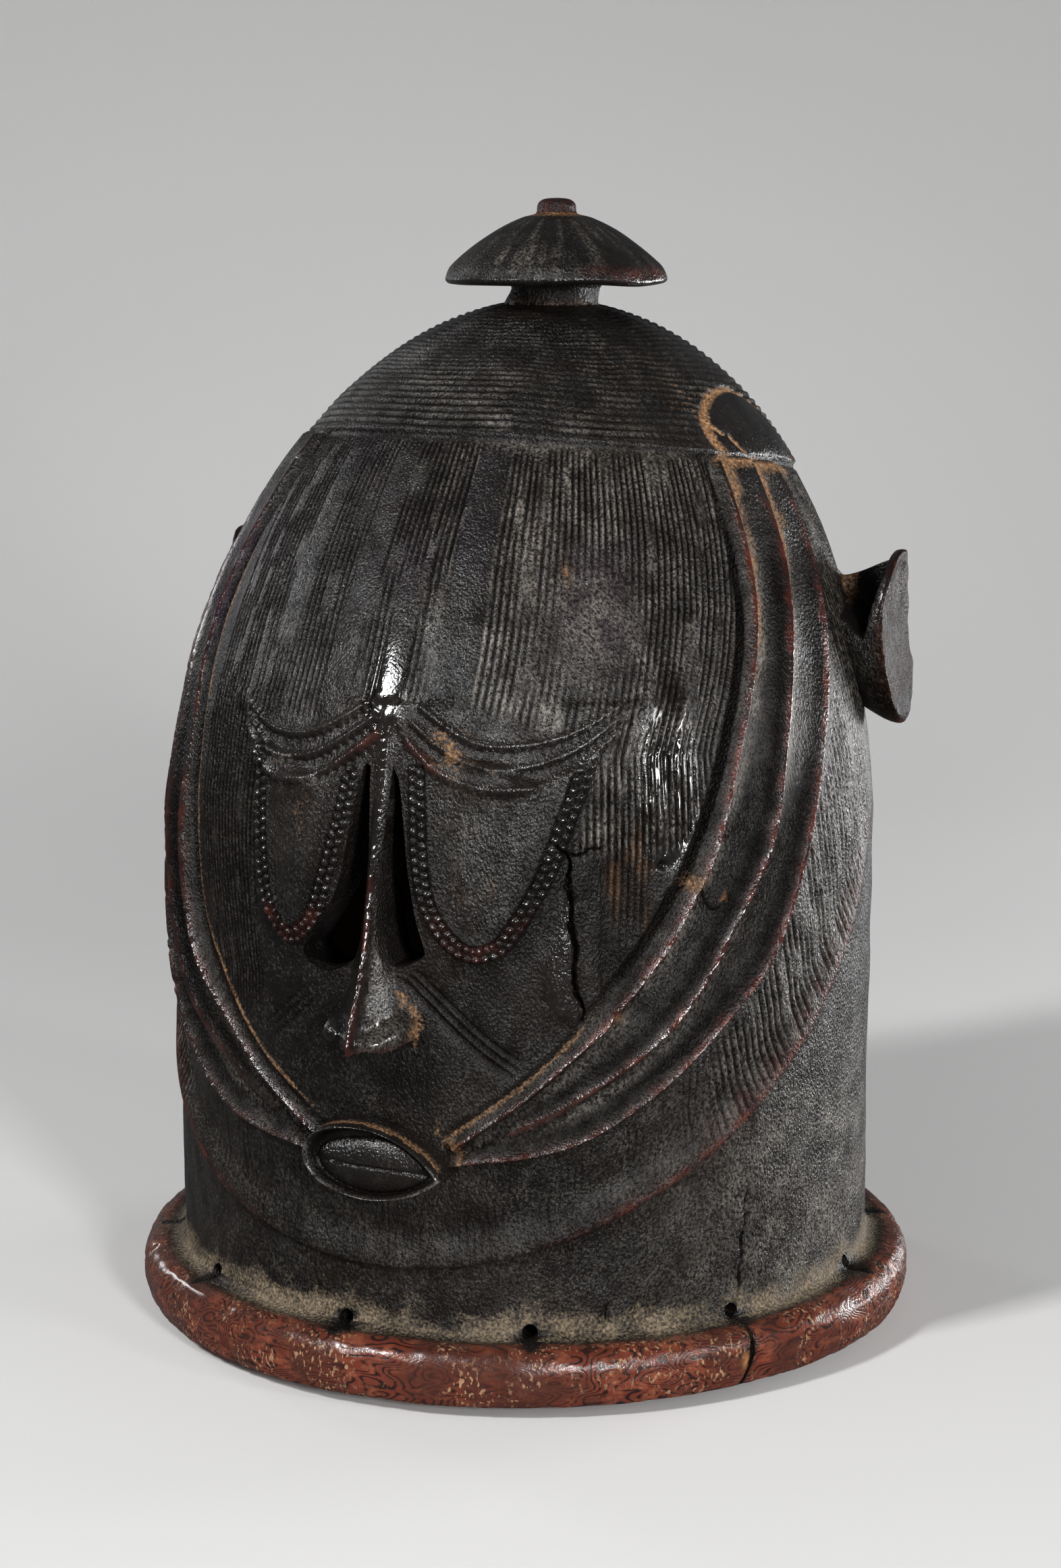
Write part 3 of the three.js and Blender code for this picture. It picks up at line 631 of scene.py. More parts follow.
# %% [markdown]
# The brows are three hanging garlands on each side of the root of the nose, each a smooth cord with a
# row of notches under it. The heavy eyelids hang below them like tongues, edged with two rows of
# beads. Notches and beads are counted along the line that they follow, so they keep one size.
# %% Brows
BROW_TOPS = {
    -1: [(-3.0, 251), (-7.7, 244), (-12.1, 239.5), (-16.5, 238), (-21.5, 240), (-26.5, 246)],
    1: [(4.5, 250), (9.7, 242), (14.5, 237.5), (21.5, 238), (28, 242.5), (34, 250)],
}
BROW_LOWS = {
    -1: [(-1.4, 240.5), (-6, 232), (-10, 226), (-14.7, 222.8), (-19.5, 225), (-26.0, 238)],
    1: [(3.2, 238.5), (7.8, 229), (13.7, 223.5), (20.2, 223.5), (27.2, 230), (33.5, 241)],
}
NOTCH_PITCH = 3.4
UPPER_CORD = (1.45, 2.1)
LOWEST_CORD = (1.75, 2.5)
brow_ridge = np.zeros(angle.shape)
brow_notch = np.zeros(angle.shape)
lowest_brow = np.full(angle.shape, FAR)
brow_zone = (height > 212) & (height < 262) & (np.abs(angle - 3) < 42)
for side in (-1, 1):
    for row in range(3):
        mix = row / 2
        points = [
            (top[0] * (1 - mix) + low[0] * mix, top[1] * (1 - mix) + low[1] * mix)
            for top, low in zip(BROW_TOPS[side], BROW_LOWS[side])
        ]
        aside, along = follow(skin_line(points, count=30), reach=10, limit=brow_zone)
        aside = flip(aside, side)
        high, thick = LOWEST_CORD if row == 2 else UPPER_CORD
        faint = 0.72 if side > 0 else 1.0
        brow_ridge = np.maximum(brow_ridge, high * faint * mound(aside, thick))
        notch = mound(off_mark(along + row, NOTCH_PITCH), 1.15) * mound(aside - 2.0, 1.6)
        brow_notch = np.maximum(brow_notch, notch * (1 if side < 0 else 0.75))
        if row == 2:
            lowest_brow = np.where(np.abs(aside) < np.abs(lowest_brow), aside, lowest_brow)
brow_base = 0.9 * fade(lowest_brow, 2.0, 4.5) * ease(lowest_brow, -22, -15) * (lowest_brow < 20)
relief += brow_ridge + unit(brow_base) * brow_zone * 0.6 - 0.85 * brow_notch
# Painted shade in the notches.
lay(deep=0.9 * brow_notch)
root_wear = mound(lowest_brow, 2.4) * fade(np.abs(angle - 1), 8, 18)
lay(worn=0.28 * root_wear * fade(np.abs(angle - 1), 4, 10))
lay(polish=0.55 * ease(brow_ridge, 0.2, 0.9))
lay(dirt=blot(9.5, 237, 5.5, 1, 0.5) * (0.35 + 0.4 * mottle(3.2, 91)))
print("brows stand", brow_ridge.max().round(2), "mm")

# %% [markdown]
# Each lid is drawn as an outline in the front view, because that is how the eye reads it. The outline
# gives the distance to the nearest edge, and the step, the bed of the beads, the border and the
# swelling of the lid all follow from that one number.
# %% Eyelids and their beads
LID_LEFT_HAND = [
    (-8.2, 231), (-9, 226), (-12, 211), (-18, 191), (-24, 174), (-29, 167.4), (-34.5, 164), (-41, 165),
    (-49, 175), (-52.4, 190), (-53.6, 214), (-53.8, 233),
]
LID_RIGHT_HAND = [
    (8.2, 231), (9, 215), (9.9, 198), (12, 184), (16.5, 174), (23, 166), (31.4, 162.2), (41.6, 165.2),
    (49, 175.3), (57.3, 191.6), (63.5, 211), (68, 227), (70, 236),
]
LID_SWELL = 2.6
BEAD_PITCH = 3.5
BEAD_ROWS = (1.7, 4.8)
BEAD_SIZE = 1.4
BORDER_AT = 7.4
lid_zone = (height > 152) & (height < 246) & (np.abs(angle) < 42)


def follow_flat(points, count):
    """Distance and length along an outline that is drawn as the face is seen from the front."""
    path = curve_through(points, count)
    spots = np.stack([across[lid_zone], height[lid_zone]], axis=-1)
    best = np.full(len(spots), FAR)
    along = np.zeros(len(spots))
    run = 0.0
    for start, end in zip(path[:-1], path[1:]):
        step = end - start
        size = np.hypot(*step)
        offset = spots - start
        part = unit(offset @ step / size**2)
        gap = np.hypot(*(offset - part[:, None] * step).T)
        closer = gap < best
        best[closer] = gap[closer]
        along[closer] = run + part[closer] * size
        run += size
    edges = np.vstack([path, path[:1]])
    inside = np.zeros(len(spots), bool)
    for (x0, z0), (x1, z1) in zip(edges[:-1], edges[1:]):
        crosses = (z0 > spots[:, 1]) != (z1 > spots[:, 1])
        meets = x0 + (spots[:, 1] - z0) / (z1 - z0 + 1e-12) * (x1 - x0)
        inside ^= crosses & (spots[:, 0] < meets)
    whole = np.full(angle.shape, -FAR)
    whole[lid_zone] = np.where(inside, best, -best)
    lengths = np.zeros(angle.shape)
    lengths[lid_zone] = along
    return whole, lengths


lid_tops = np.interp(share, [-0.6, -0.33, -0.06, 0.1, 0.4, 0.62], [234, 222, 236, 236, 222, 236])
under_brow = ease(lid_tops - height, -3.5, 1.5)
lid_inside = np.zeros(angle.shape)
for outline in (LID_LEFT_HAND, LID_RIGHT_HAND):
    inside, along = follow_flat(outline, count=56)
    lid = ease(inside, -0.2, 1.6)
    beads = np.zeros(angle.shape)
    for row, place in enumerate(BEAD_ROWS):
        step = off_mark(along + row * BEAD_PITCH / 2, BEAD_PITCH)
        round_bead = unit(1 - (step**2 + (inside - place) ** 2) / BEAD_SIZE**2)
        beads = np.maximum(beads, np.sqrt(round_bead))
    bedded = ease(inside, 0.3, 1.2) * fade(inside, 6.3, 6.9)
    border = mound(inside - BORDER_AT, 0.9)
    crown = ease(inside, 8, 19)
    made = LID_SWELL * lid - 0.8 * bedded + 1.15 * beads + 0.45 * border + 0.7 * crown
    relief += made * under_brow
    low = fade(height, 172, 186)
    lay(worn=0.3 * low * bedded * under_brow * (0.45 + 0.55 * mottle(5, 95)))
    # Painted shade in the bed between the beads.
    lay(deep=0.9 * bedded * (1 - beads) * under_brow)
    lay(polish=0.95 * beads * under_brow)
    lid_inside = np.maximum(lid_inside, ease(inside, 8.5, 11) * under_brow)
lay(ash=0.16 * lid_inside * ease(mottle(3, 96), -0.2, 0.6))
lay(dirt=0.15 * lid_inside * ease(mottle(6, 97), 0.0, 0.7))
lay(polish=0.25 * lid_inside)
print("lids stand", LID_SWELL, "mm, with beads every", BEAD_PITCH, "mm")

# %% [markdown]
# The nose is a thin blade between the two slits that widens to the wings. Its crest is a rib notched
# all the way down. It stands up to 26 mm, and as it never overhangs it can be relief too, which lets
# it grow out of the face without a seam.
# %% Nose
NOSE_HEIGHTS = [131.4, 133.2, 137, 145, 154, 168, 188, 205, 222, 240, 250]
NOSE_REACH = [0, 23.5, 24.8, 21.5, 15.2, 8.6, 4.0, 2.6, 1.8, 1.0, 0.0]
NOSE_HALF = [16.5, 16.5, 16, 13, 9.2, 5.6, 2.6, 2.6, 3.2, 3.6, 3.6]
NOSE_LOW_X = -4.0
NOSE_TOP_X = -0.6
WING_AT = (9.2, 138.6)
WING_SIZE = 6.4
WING_REACH = 15.5
BAR_REACH = 20.5
NOSE_ZONE = 20
NOTCH_STEP = 3.3
nose_x = NOSE_LOW_X + (NOSE_TOP_X - NOSE_LOW_X) * ease(height, 182, 230)
nose_reach = np.interp(height, NOSE_HEIGHTS, NOSE_REACH)
nose_half = np.interp(height, NOSE_HEIGHTS, NOSE_HALF)
off_crest = across - nose_x
off_share = unit(np.abs(off_crest) / nose_half)
front_facing = (np.abs(angle) < NOSE_ZONE) & (height > 128) & (height < 252)
flank = nose_reach * (0.8 * (1 - off_share) ** 0.95 + 0.2 * mound(off_crest, 2.3))
wings = np.zeros(angle.shape)
for side in (-1, 1):
    away = np.hypot(off_crest - side * WING_AT[0], (height - WING_AT[1]) * 1.05)
    wings = np.maximum(wings, WING_REACH * np.sqrt(unit(1 - (away / WING_SIZE) ** 2)))
bar = BAR_REACH * np.sqrt(unit(1 - ((off_crest - 2.2) / 12.2) ** 2)) * fade(height, 138, 147)
wing_crease = 1.2 * mound(off_crest - 6.4 + 0.5 * (height - 138), 1.5) * mound(height - 142, 5)
bottom_edge = 134.6 + 0.4 * mound(np.abs(off_crest) - 5, 3) + 0.35 * ragged(arc, 2.2, 101)
nose_bottom = ease(height, bottom_edge - 1.4, bottom_edge + 0.8)
nose = (np.maximum(np.maximum(flank, wings), bar) - wing_crease * (flank > 2)) * nose_bottom
notch_share = mound(off_mark(height, NOTCH_STEP), 0.9) * mound(off_crest, 1.5) * (height < 240)
nose = nose - 0.5 * notch_share * (nose_reach > 1)
relief += np.where(front_facing, np.maximum(nose, 0), 0)
crest_zone = mound(off_crest, 2.6) * front_facing * (height < 245)
lay(worn=0.45 * mound(off_crest, 1.4) * front_facing * (height < 192) * mottled(4, 102))
lay(worn=0.5 * front_facing * (nose > 3) * fade(height, 133.5, 137))
# Grey ash on the right flank, which also stands for the light that falls on it: painted light.
lay(ash=0.3 * front_facing * ease(off_crest, 1, 3) * ease(nose, 1, 4) * fade(height, 176, 196))
lay(polish=crest_zone)
wing_dirt = mound(np.hypot(off_crest, (height - 139) * 1.05) - 15.6, 1.6) * (off_crest > 4) * (height > 133)
wing_dirt = wing_dirt * mottled(2.4, 103) * (np.abs(angle) < NOSE_ZONE)
lay(polish=0.75 * front_facing * ease(nose, 0.8, 3))
lay(dirt=0.75 * wing_dirt)
print("nose stands", np.where(front_facing, nose, 0).max().round(1), "mm")

# %% [markdown]
# Three long scars run down each cheek from the nose. On the mask's left cheek, at the viewer's right,
# the wood is eroded: a wide crack, a lifted flake, brown weathered grooves and a chipped hole, and the
# inner ridge of the frame has lost a piece. All this damage is kept as it is.
# %% Scars
SCAR_LINES = {
    1: [(3.3, 158.8), (8.4, 146.2), (13.7, 133.6), (19.8, 122.2)],
    -1: [(-11.5, 149), (-17.0, 138), (-22.5, 127.5)],
}
SCAR_PITCH = 2.9
SCAR_DEPTH = {1: 1.35, -1: 0.7}
SCAR_DARK = {1: 0.85, -1: 0.45}
for side, points in SCAR_LINES.items():
    aside, along = follow(skin_line(points, count=16), reach=16, limit=(height < 176) & (height > 108))
    length = along.max()
    taper = ease(along, 0, 5) * fade(along, length - 8, length - 0.5)
    for number in range(3):
        cut = mound(aside - (number - 1) * SCAR_PITCH, 1.25) * taper
        relief -= SCAR_DEPTH[side] * cut
        # Painted shade in the scars.
        lay(deep=SCAR_DARK[side] * cut)

# %% [markdown]
# Cracks follow the grain, which runs upright in the block, so they are steep lines with a ragged width.
# Each has its points, its half width and its depth. Beside the longest one the wood has lifted as a
# flake, and right of it the surface has weathered away down to the soft grain.
# %% Cracks, chips and erosion
CRACKS = [
    ([(25.7, 202), (26.4, 197), (26.1, 189), (26.7, 184), (26.5, 175), (27.4, 168), (27.0, 160),
      (27.3, 152), (28.5, 146), (28.0, 140)], 1.0, 3.4),
    ([(24.0, 204.5), (25.6, 201.2), (27.6, 200.0), (29.4, 202.0), (31.6, 201.6)], 0.5, 1.8),
    ([(46.3, 190.5), (47.2, 184), (48.8, 177), (50.6, 178.5)], 0.55, 1.4),
    ([(56.9, 73), (56.1, 66), (56.5, 60), (55.4, 53), (55.9, 47), (55.0, 41), (55.5, 35),
      (54.6, 30)], 0.6, 2.2),
    ([(33.0, 24.5), (32.4, 32), (32.9, 38)], 0.4, 0.8),
]
for number, (points, half, deep) in enumerate(CRACKS):
    aside, along = follow(skin_line(points, count=24), reach=8)
    length = along.max()
    width = half * (0.6 + 0.5 * np.sin(np.pi * along / length) + 0.35 * ragged(along, 4, 111 + number))
    width = np.maximum(width, 0.2)
    wander = aside + 0.3 * ragged(along, 1.9, 121 + number)
    cut = unit(1 - np.abs(wander) / width) * ease(along, 0, 2) * fade(along, length - 2, length)
    relief -= deep * cut**0.7
    # Painted shade in the crack.
    lay(deep=ease(cut, 0.05, 0.4))
ROT_ANGLE = 35.3
CHIPPED_HOLE = (40.5, 194.5)
CRACK_RUN = ([140, 147, 157, 169, 183, 192, 201], [27.8, 28.0, 27.2, 27.0, 26.7, 26.4, 25.9])
FLAKE_EDGE = ([140, 143, 150, 160, 169, 180, 196], [27.8, 24.6, 22.4, 22.2, 23.5, 24.9, 26.3])
crack_side = angle - np.interp(height, *CRACK_RUN)
flake_side = angle - np.interp(height, *FLAKE_EDGE)
cracked = ease(height, 138, 144) * fade(height, 192, 202)
flake = ease(flake_side, -0.1, 0.9) * fade(crack_side, -0.5, 0.1) * cracked
relief += 1.2 * flake
lay(polish=0.6 * flake)
plate_edge = 31.3 + 0.8 * ragged(height, 16, 136) + 0.3 * ragged(height, 4, 137)
plate = ease(crack_side, 0, 0.4) * fade(angle - plate_edge, -0.4, 0.2) * cracked
relief += (0.25 + 0.15 * mottle(7, 131)) * plate
eroded = ease(angle - plate_edge, -0.3, 0.5) * fade(angle, 38, 41) * cracked
relief -= 0.75 * eroded
# Painted shade over the eroded strip.
lay(deep=0.3 * eroded)
rot_side = np.abs(angle - ROT_ANGLE) + 0.9 * mottle(7, 138)
rotten = fade(rot_side, 2.6, 4.2) * ease(height, 170, 178) * fade(height, 198, 214)
relief -= 0.7 * rotten * groove
lay(raw=0.12 * rotten * (1 - groove) * ease(patchy(arc, height * 0.5, 3, 132), -0.5, 0.5))
# Painted shade in the weathered grooves.
lay(deep=rotten * groove)
low_grooves = fade(np.abs(angle - ROT_ANGLE), 2.6, 4) * ease(height, 151, 156) * fade(height, 172, 176)
relief -= 0.5 * low_grooves * groove
pit_noise = mottle(2.6, 133) + 0.6 * mottle(1.4, 134)
pitted = blot(41.3, 190, 5.4, 1, 0.45)
relief += 0.5 * pitted * pit_noise - 2.2 * blot(*CHIPPED_HOLE, 2.4, 2.2)
# Painted shadow in the chipped hole.
lay(deep=blot(*CHIPPED_HOLE, 2.6, 2.2))
lay(dirt=0.4 * blot(45.2, 187, 2.6, 1, 0.45))
RIDGE_CHIPS = [(47.4, 187, 4.2, 2.6), (33.6, 141, 5.0, 3.2), (53.0, 218, 2.4, 1.0), (50.9, 181, 3.0, 1.4)]
for chip_angle, chip_height, size, deep in RIDGE_CHIPS:
    away = np.hypot((angle - chip_angle) * 2.3, height - chip_height)
    chip = mound(away + 0.9 * mottle(2.5, 135), size)
    relief -= deep * chip * (relief > 1.5)
    lay(raw=0.55 * mound(away, size * 0.5))
print("deepest cut", relief.min().round(2), "mm")

# %% [markdown]
# The foot is a thick flange. Its edge is the part that rubs on shoulders and shelves, so the black
# skin has gone and the red-brown grain shows, worn into low ridges. Buff dust has settled on its top
# and in the corner where it meets the neck.
# %% Foot
CRACK_ANGLE = 52.2
rim_zone = fade(row_height, 24, 30) * (row_radius > 130)
relief += rim_zone * (0.45 * ragged(arc, 38, 141) + 0.3 * mottle(11, 142))
grain_ridges = patchy(arc * 0.55, height + 2.5 * mottle(18, 143), 1.7, 144)
edge_zone = rim_zone * (row_radius > 144) * ease(row_height, 0.5, 3)
relief += 0.22 * edge_zone * grain_ridges
edge_chips = ease(patchy(arc, height * 0 + 5, 6.5, 145), 0.45, 0.9) * mound(row_height - 22.8, 4) * edge_zone
relief -= 0.9 * edge_chips
under_edge = fade(row_height, 2.6, 4.4) * ease(row_radius, 136, 140)
relief -= 4.0 * under_edge * fade(np.abs(angle - 5), 40, 100)
foot_side = fade(row_height, 20.5, 24.6) * (row_radius > 120)
foot_side = np.maximum(foot_side, 0.85 * ease(row_radius, 139, 143) * (row_height < 26))
paint["foot"] = unit(foot_side)
corner = mound(row_radius - 134, 9) * ease(row_height, 23, 25) * (row_height < FOOT_TOP + 1)
above_corner = 0.6 * fade(row_height, 26, 31) * ease(row_height, 24.2, 25.5) * (row_radius < 136)
corner = np.maximum(corner, above_corner)
specks = 0.3 * ease(mottle(4.2, 148), 0.1, 0.8) * fade(row_height, 32, 52) * (row_radius < 147)
specks = specks * ease(row_height, 22, 25)
corner_dust = 0.46 + 0.3 * mottle(12, 146) + 0.35 * mottle(2.2, 147)
lay(dirt=unit(np.maximum(corner * corner_dust, specks)))
foot_rubbed = 1 - 0.8 * ease(angle, 60, 85)
lay(polish=foot_rubbed * mound(row_radius - 145.5, 4.2) * (row_height > 18))
lay(polish=0.35 * foot_rubbed * (row_radius > 140) * (row_height < 24))
split = np.radians(angle - CRACK_ANGLE) * row_radius + 1.1
split_width = 2.6 + 0.9 * ragged(height, 3.5, 150)
lay(raw=mound(split, split_width) * rim_zone * mound(row_height - 15, 8))
mouth_dirt = mound(np.hypot((across + 2.8) / 27.5, (height - 90) / 16) - 1, 0.1) * (height > 90)
# Painted shadow under the rebate at the bottom of the foot.
lay(deep=under_edge)
lay(dirt=0.5 * mouth_dirt * (np.abs(angle) < 25) * mottled(3, 149))
print("foot reaches", (row_radius + relief)[(row_height > 8) & (row_height < 20)].max().round(1), "mm")

# %% [markdown]
# Now the sheet becomes a body. The vertices of a flat grid move to their places on the skin plus the
# relief, and the two side edges and the poles are welded, which closes it. A collapse modifier then
# spends the triangles where the carving is. The paint layers ride along as attributes.
# %% The carved outside
BODY_TRIANGLES = 146000
LAYERS = [*paint, "inside"]


def give_layers(mesh, values):
    for name in LAYERS:
        layer = mesh.attributes.get(name) or mesh.attributes.new(name, "FLOAT", "POINT")
        amount = values.get(name, 0)
        full = np.broadcast_to(np.asarray(amount, np.float32), len(mesh.vertices))
        layer.data.foreach_set("value", np.ascontiguousarray(full))


def coordinates(mesh):
    flat = np.empty(3 * len(mesh.vertices), np.float32)
    mesh.vertices.foreach_get("co", flat)
    return flat.reshape(-1, 3)


def set_coordinates(mesh, places):
    mesh.vertices.foreach_set("co", np.ascontiguousarray(places, np.float32).ravel())
    mesh.update()


def object_from(work, name):
    mesh = bpy.data.meshes.new(name)
    work.to_mesh(mesh)
    work.free()
    thing = bpy.data.objects.new(name, mesh)
    bpy.context.scene.collection.objects.link(thing)
    return thing


def solid_from(work, name):
    bmesh.ops.recalc_face_normals(work, faces=work.faces)
    return object_from(work, name)


def points_of(thing):
    """The vertices of an object in mm."""
    return coordinates(thing.data).astype(float) / MM


def face_outwards(mesh):
    work = bmesh.new()
    work.from_mesh(mesh)
    bmesh.ops.recalc_face_normals(work, faces=work.faces)
    work.to_mesh(mesh)
    work.free()


def settle(thing):
    """Applies the modifiers of an object to its mesh."""
    view = bpy.context.evaluated_depsgraph_get()
    mesh = bpy.data.meshes.new_from_object(thing.evaluated_get(view))
    old = thing.data
    thing.modifiers.clear()
    thing.data = mesh
    bpy.data.meshes.remove(old)


sheet = bmesh.new()
bmesh.ops.create_grid(sheet, x_segments=COLUMNS, y_segments=ROWS, size=0.5)
mask = object_from(sheet, "carved_wood_mask")
flat = coordinates(mask.data)
column_of = np.rint((flat[:, 0] + 0.5) * COLUMNS).astype(int)
row_of = np.rint((flat[:, 1] + 0.5) * ROWS).astype(int)
edge = (row_of == 0) | (row_of == ROWS) | (column_of == 0) | (column_of == COLUMNS)
carved = (skin + outward * relief[..., None]) * MM
carved[..., 2] = np.maximum(carved[..., 2], 0)
carved[:, -1] = carved[:, 0]
carved[0] = (0, NECK_AXIS_Y * MM, 0)
carved[-1] = carved[-1].mean(axis=0)
set_coordinates(mask.data, carved[row_of, column_of])
give_layers(mask.data, {name: unit(layer)[row_of, column_of] for name, layer in paint.items()})
shut = bmesh.new()
shut.from_mesh(mask.data)
shut.verts.ensure_lookup_table()
seam = [shut.verts[i] for i in np.flatnonzero(edge)]
bmesh.ops.remove_doubles(shut, verts=seam, dist=2e-6)
bmesh.ops.recalc_face_normals(shut, faces=shut.faces[:])
open_edges = sum(e.is_boundary for e in shut.edges)
print("welded body has", len(shut.verts), "vertices and", open_edges, "open edges")
shut.to_mesh(mask.data)
shut.free()
collapse = mask.modifiers.new("spend triangles on carving", "DECIMATE")
collapse.ratio = BODY_TRIANGLES / (2 * COLUMNS * ROWS)
settle(mask)
print("after the collapse", len(mask.data.polygons), "triangles")

# %% [markdown]
# The finial, the ears and the mouth stand out too far or overhang, so each is a solid of its own and is
# joined to the block. The finial is turned: a spun profile with the scratches and dents added after.
# %% Finial
FINIAL_PROFILE = [
    (0, 371), (23.6, 377.2), (19.2, 381.2), (17.6, 385), (17.3, 390.5), (24, 390.8), (33, 390.7),
    (39.8, 390.4), (42.2, 391.6), (42.2, 393.6), (40.9, 396.6), (38.2, 399.4), (31.2, 405.4),
    (22, 411.8), (13.8, 415.8),
    (9.4, 417.0), (7.9, 417.6), (7.5, 418.8), (7.4, 420.4), (6.5, 422.0), (4.2, 423.1), (0, 423.4),
]
SCRATCH_RADIUS = 40


def spin_round(path, steps, weld):
    """Spins a path of (radius, height) in metres round the Z axis."""
    work = bmesh.new()
    dots = [work.verts.new((radius, 0, height)) for radius, height in path]
    for low, high in zip(dots[:-1], dots[1:]):
        work.edges.new((low, high))
    bmesh.ops.spin(work, geom=dots + work.edges[:], angle=2 * math.pi, steps=steps,
                   axis=(0, 0, 1), cent=(0, 0, 0), use_merge=True)
    bmesh.ops.remove_doubles(work, verts=work.verts, dist=weld)
    bmesh.ops.recalc_face_normals(work, faces=work.faces)
    return work


def spun(profile_mm, count, steps, name):
    """Spins an open profile that starts and ends on the axis into a closed solid."""
    path = curve_through(profile_mm, count)
    path[0, 0] = path[-1, 0] = 0
    return object_from(spin_round([(max(r, 0) * MM, z * MM) for r, z in path], steps, 1e-6), name)


finial = spun(FINIAL_PROFILE, count=74, steps=96, name="finial")
points = points_of(finial)
x, y, up = points.T
reach = np.hypot(x, y)
bearing = np.degrees(np.arctan2(x, -y))
bearing_arc = np.radians(bearing) * SCRATCH_RADIUS
hat = ease(up, 392, 395) * fade(up, 415, 417)
scratches = ease(patchy(bearing_arc, up * 0.12, 1.5, 151), 0.15, 0.7)
scratched = hat * (0.5 + 0.5 * mound(bearing + 10, 40)) * ease(reach, 12, 20)
dents = 0.5 * patchy(bearing_arc, up, 13, 152) + 0.16 * patchy(bearing_arc, up, 4.5, 153)
out = 1 + (dents * ease(reach, 8, 20) - 0.45 * scratches * scratched) / np.maximum(reach, 8)
rim_sag = 0.8 * ragged(bearing_arc, 24, 154) * ease(reach, 18, 40) * (up > 388)
layers = {
    # Painted shade in the scratches and at the foot of the knob.
    "deep": 0.4 * scratches * scratched + 0.7 * mound(up - 417.4, 1.2),
    "dirt": 0.4 * mound(up - 417.2, 1.3) + 0.25 * fade(up, 381, 388),
    "ash": unit(scratches * scratched * 0.7),
    "worn": 0.3 * ease(bearing, 25, 60) * mound(up - 395, 4) + 0.25 * (up > 417.5),
    "polish": np.maximum(0.8 * mound(up - 391.5, 2.4) * (reach > 38), 0.12 * hat),
}
points[:, :2] *= out[:, None]
up += rim_sag
lean_x = 1.4 + 1.9 * ease(up, DOME_TOP, 390.6)
x += lean_x
y += NECK_AXIS_Y + CROWN_SETBACK
set_coordinates(finial.data, points * MM)
give_layers(finial.data, layers)
print("finial top at", up.max().round(1), "mm")

# %% [markdown]
# The mouth is an almond cup with a thin rim and two lips pressed together inside. A spun dish has the
# right rings, from the middle of the lips to the rim and down the outside wall, so it is pulled to
# the almond outline and the lips are raised in it.
# %% Mouth
MOUTH_CENTRE = (-2.8, NECK_AXIS_Y - 149.5, 90)
MOUTH_HALF = (26, 14)
MOUTH_TILT = 7
LIP_SWELL = 4.4
LIP_HALF = (22.5, 10.2)
DISH_RADIUS = 10
DISH = [
    (0, -6), (0.2, -6), (0.45, -6), (0.7, -5.9), (0.82, -5.4), (0.88, -3.6), (0.915, -1.4), (0.95, -0.2),
    (0.975, 0), (1.0, -0.6), (1.01, -2.2), (1.03, -8), (1.06, -18), (1.06, -25), (0.5, -26), (0, -26),
]


def almond_reach(turn):
    """How far the almond outline is from its middle, in each direction."""
    a, b = MOUTH_HALF
    t = np.linspace(0, 1, 60)
    x = -a * (1 - t) ** 3 - 3 * a * (1 - t) ** 2 * t + 1.05 * a * (1 - t) * t**2 + a * t**3
    z = 3.3 * b * (1 - t) ** 2 * t + 4.05 * b * (1 - t) * t**2
    bend = np.arctan2(z, x)
    return np.interp(np.abs(turn), bend[::-1], np.hypot(x, z)[::-1])


mouth = spun([(r * DISH_RADIUS, z) for r, z in DISH], count=60, steps=104, name="mouth")
x, y, out = points_of(mouth).T
turn = np.arctan2(y, x)
ring = np.hypot(x, y) / DISH_RADIUS
reach = almond_reach(turn) * np.minimum(ring, 1) + (np.maximum(ring, 1) - 1) * 20
flat_x = reach * np.cos(turn)
flat_z = reach * np.sin(turn)
in_cup = (out > -6.5) & (ring < 0.9)
slit_line = 0.4 * np.sin(flat_x * 0.13) - 1.0 + 0.04 * flat_x
lip_z = np.abs(flat_z - slit_line)
lip_rise = np.sqrt(unit(1 - (flat_x / LIP_HALF[0]) ** 2 - (lip_z / LIP_HALF[1]) ** 2))
lips = LIP_SWELL * lip_rise - 0.7 * mound(lip_z, 0.9)
out = out + np.where(in_cup, lips * fade(ring, 0.78, 0.88), 0)
small_wobble = 0.25 * patchy(flat_x, flat_z, 7, 161) * (out > -10)
rim_wobble = 0.5 * patchy(flat_x, flat_z, 12, 162) * (ring > 0.85)
out = out + small_wobble + rim_wobble
tilt = math.radians(MOUTH_TILT)
places = np.stack([
    MOUTH_CENTRE[0] + flat_x * math.cos(tilt) + flat_z * math.sin(tilt),
    MOUTH_CENTRE[1] - out,
    MOUTH_CENTRE[2] - flat_x * math.sin(tilt) + flat_z * math.cos(tilt),
], axis=1)
set_coordinates(mouth.data, places * MM)
give_layers(mouth.data, {
    # Painted shade in the slit between the lips and round the inside of the cup.
    "deep": np.where(in_cup, np.maximum(0.7 * mound(lip_z, 1.0), 0.8 * ease(ring, 0.6, 0.86)), 0),
    "polish": unit(0.8 * mound(ring - 0.97, 0.05) + 0.45 * in_cup),
    "ash": 0.45 * mound(ring - 0.97, 0.06) * (flat_z < 4),
    "dirt": 0.5 * (out < -3) * (ring > 1.0) * (flat_z > 2) * fade(-out, 3, 9),
})
face_outwards(mouth.data)
print("mouth is", 2 * MOUTH_HALF[0], "by", 2 * MOUTH_HALF[1], "mm")

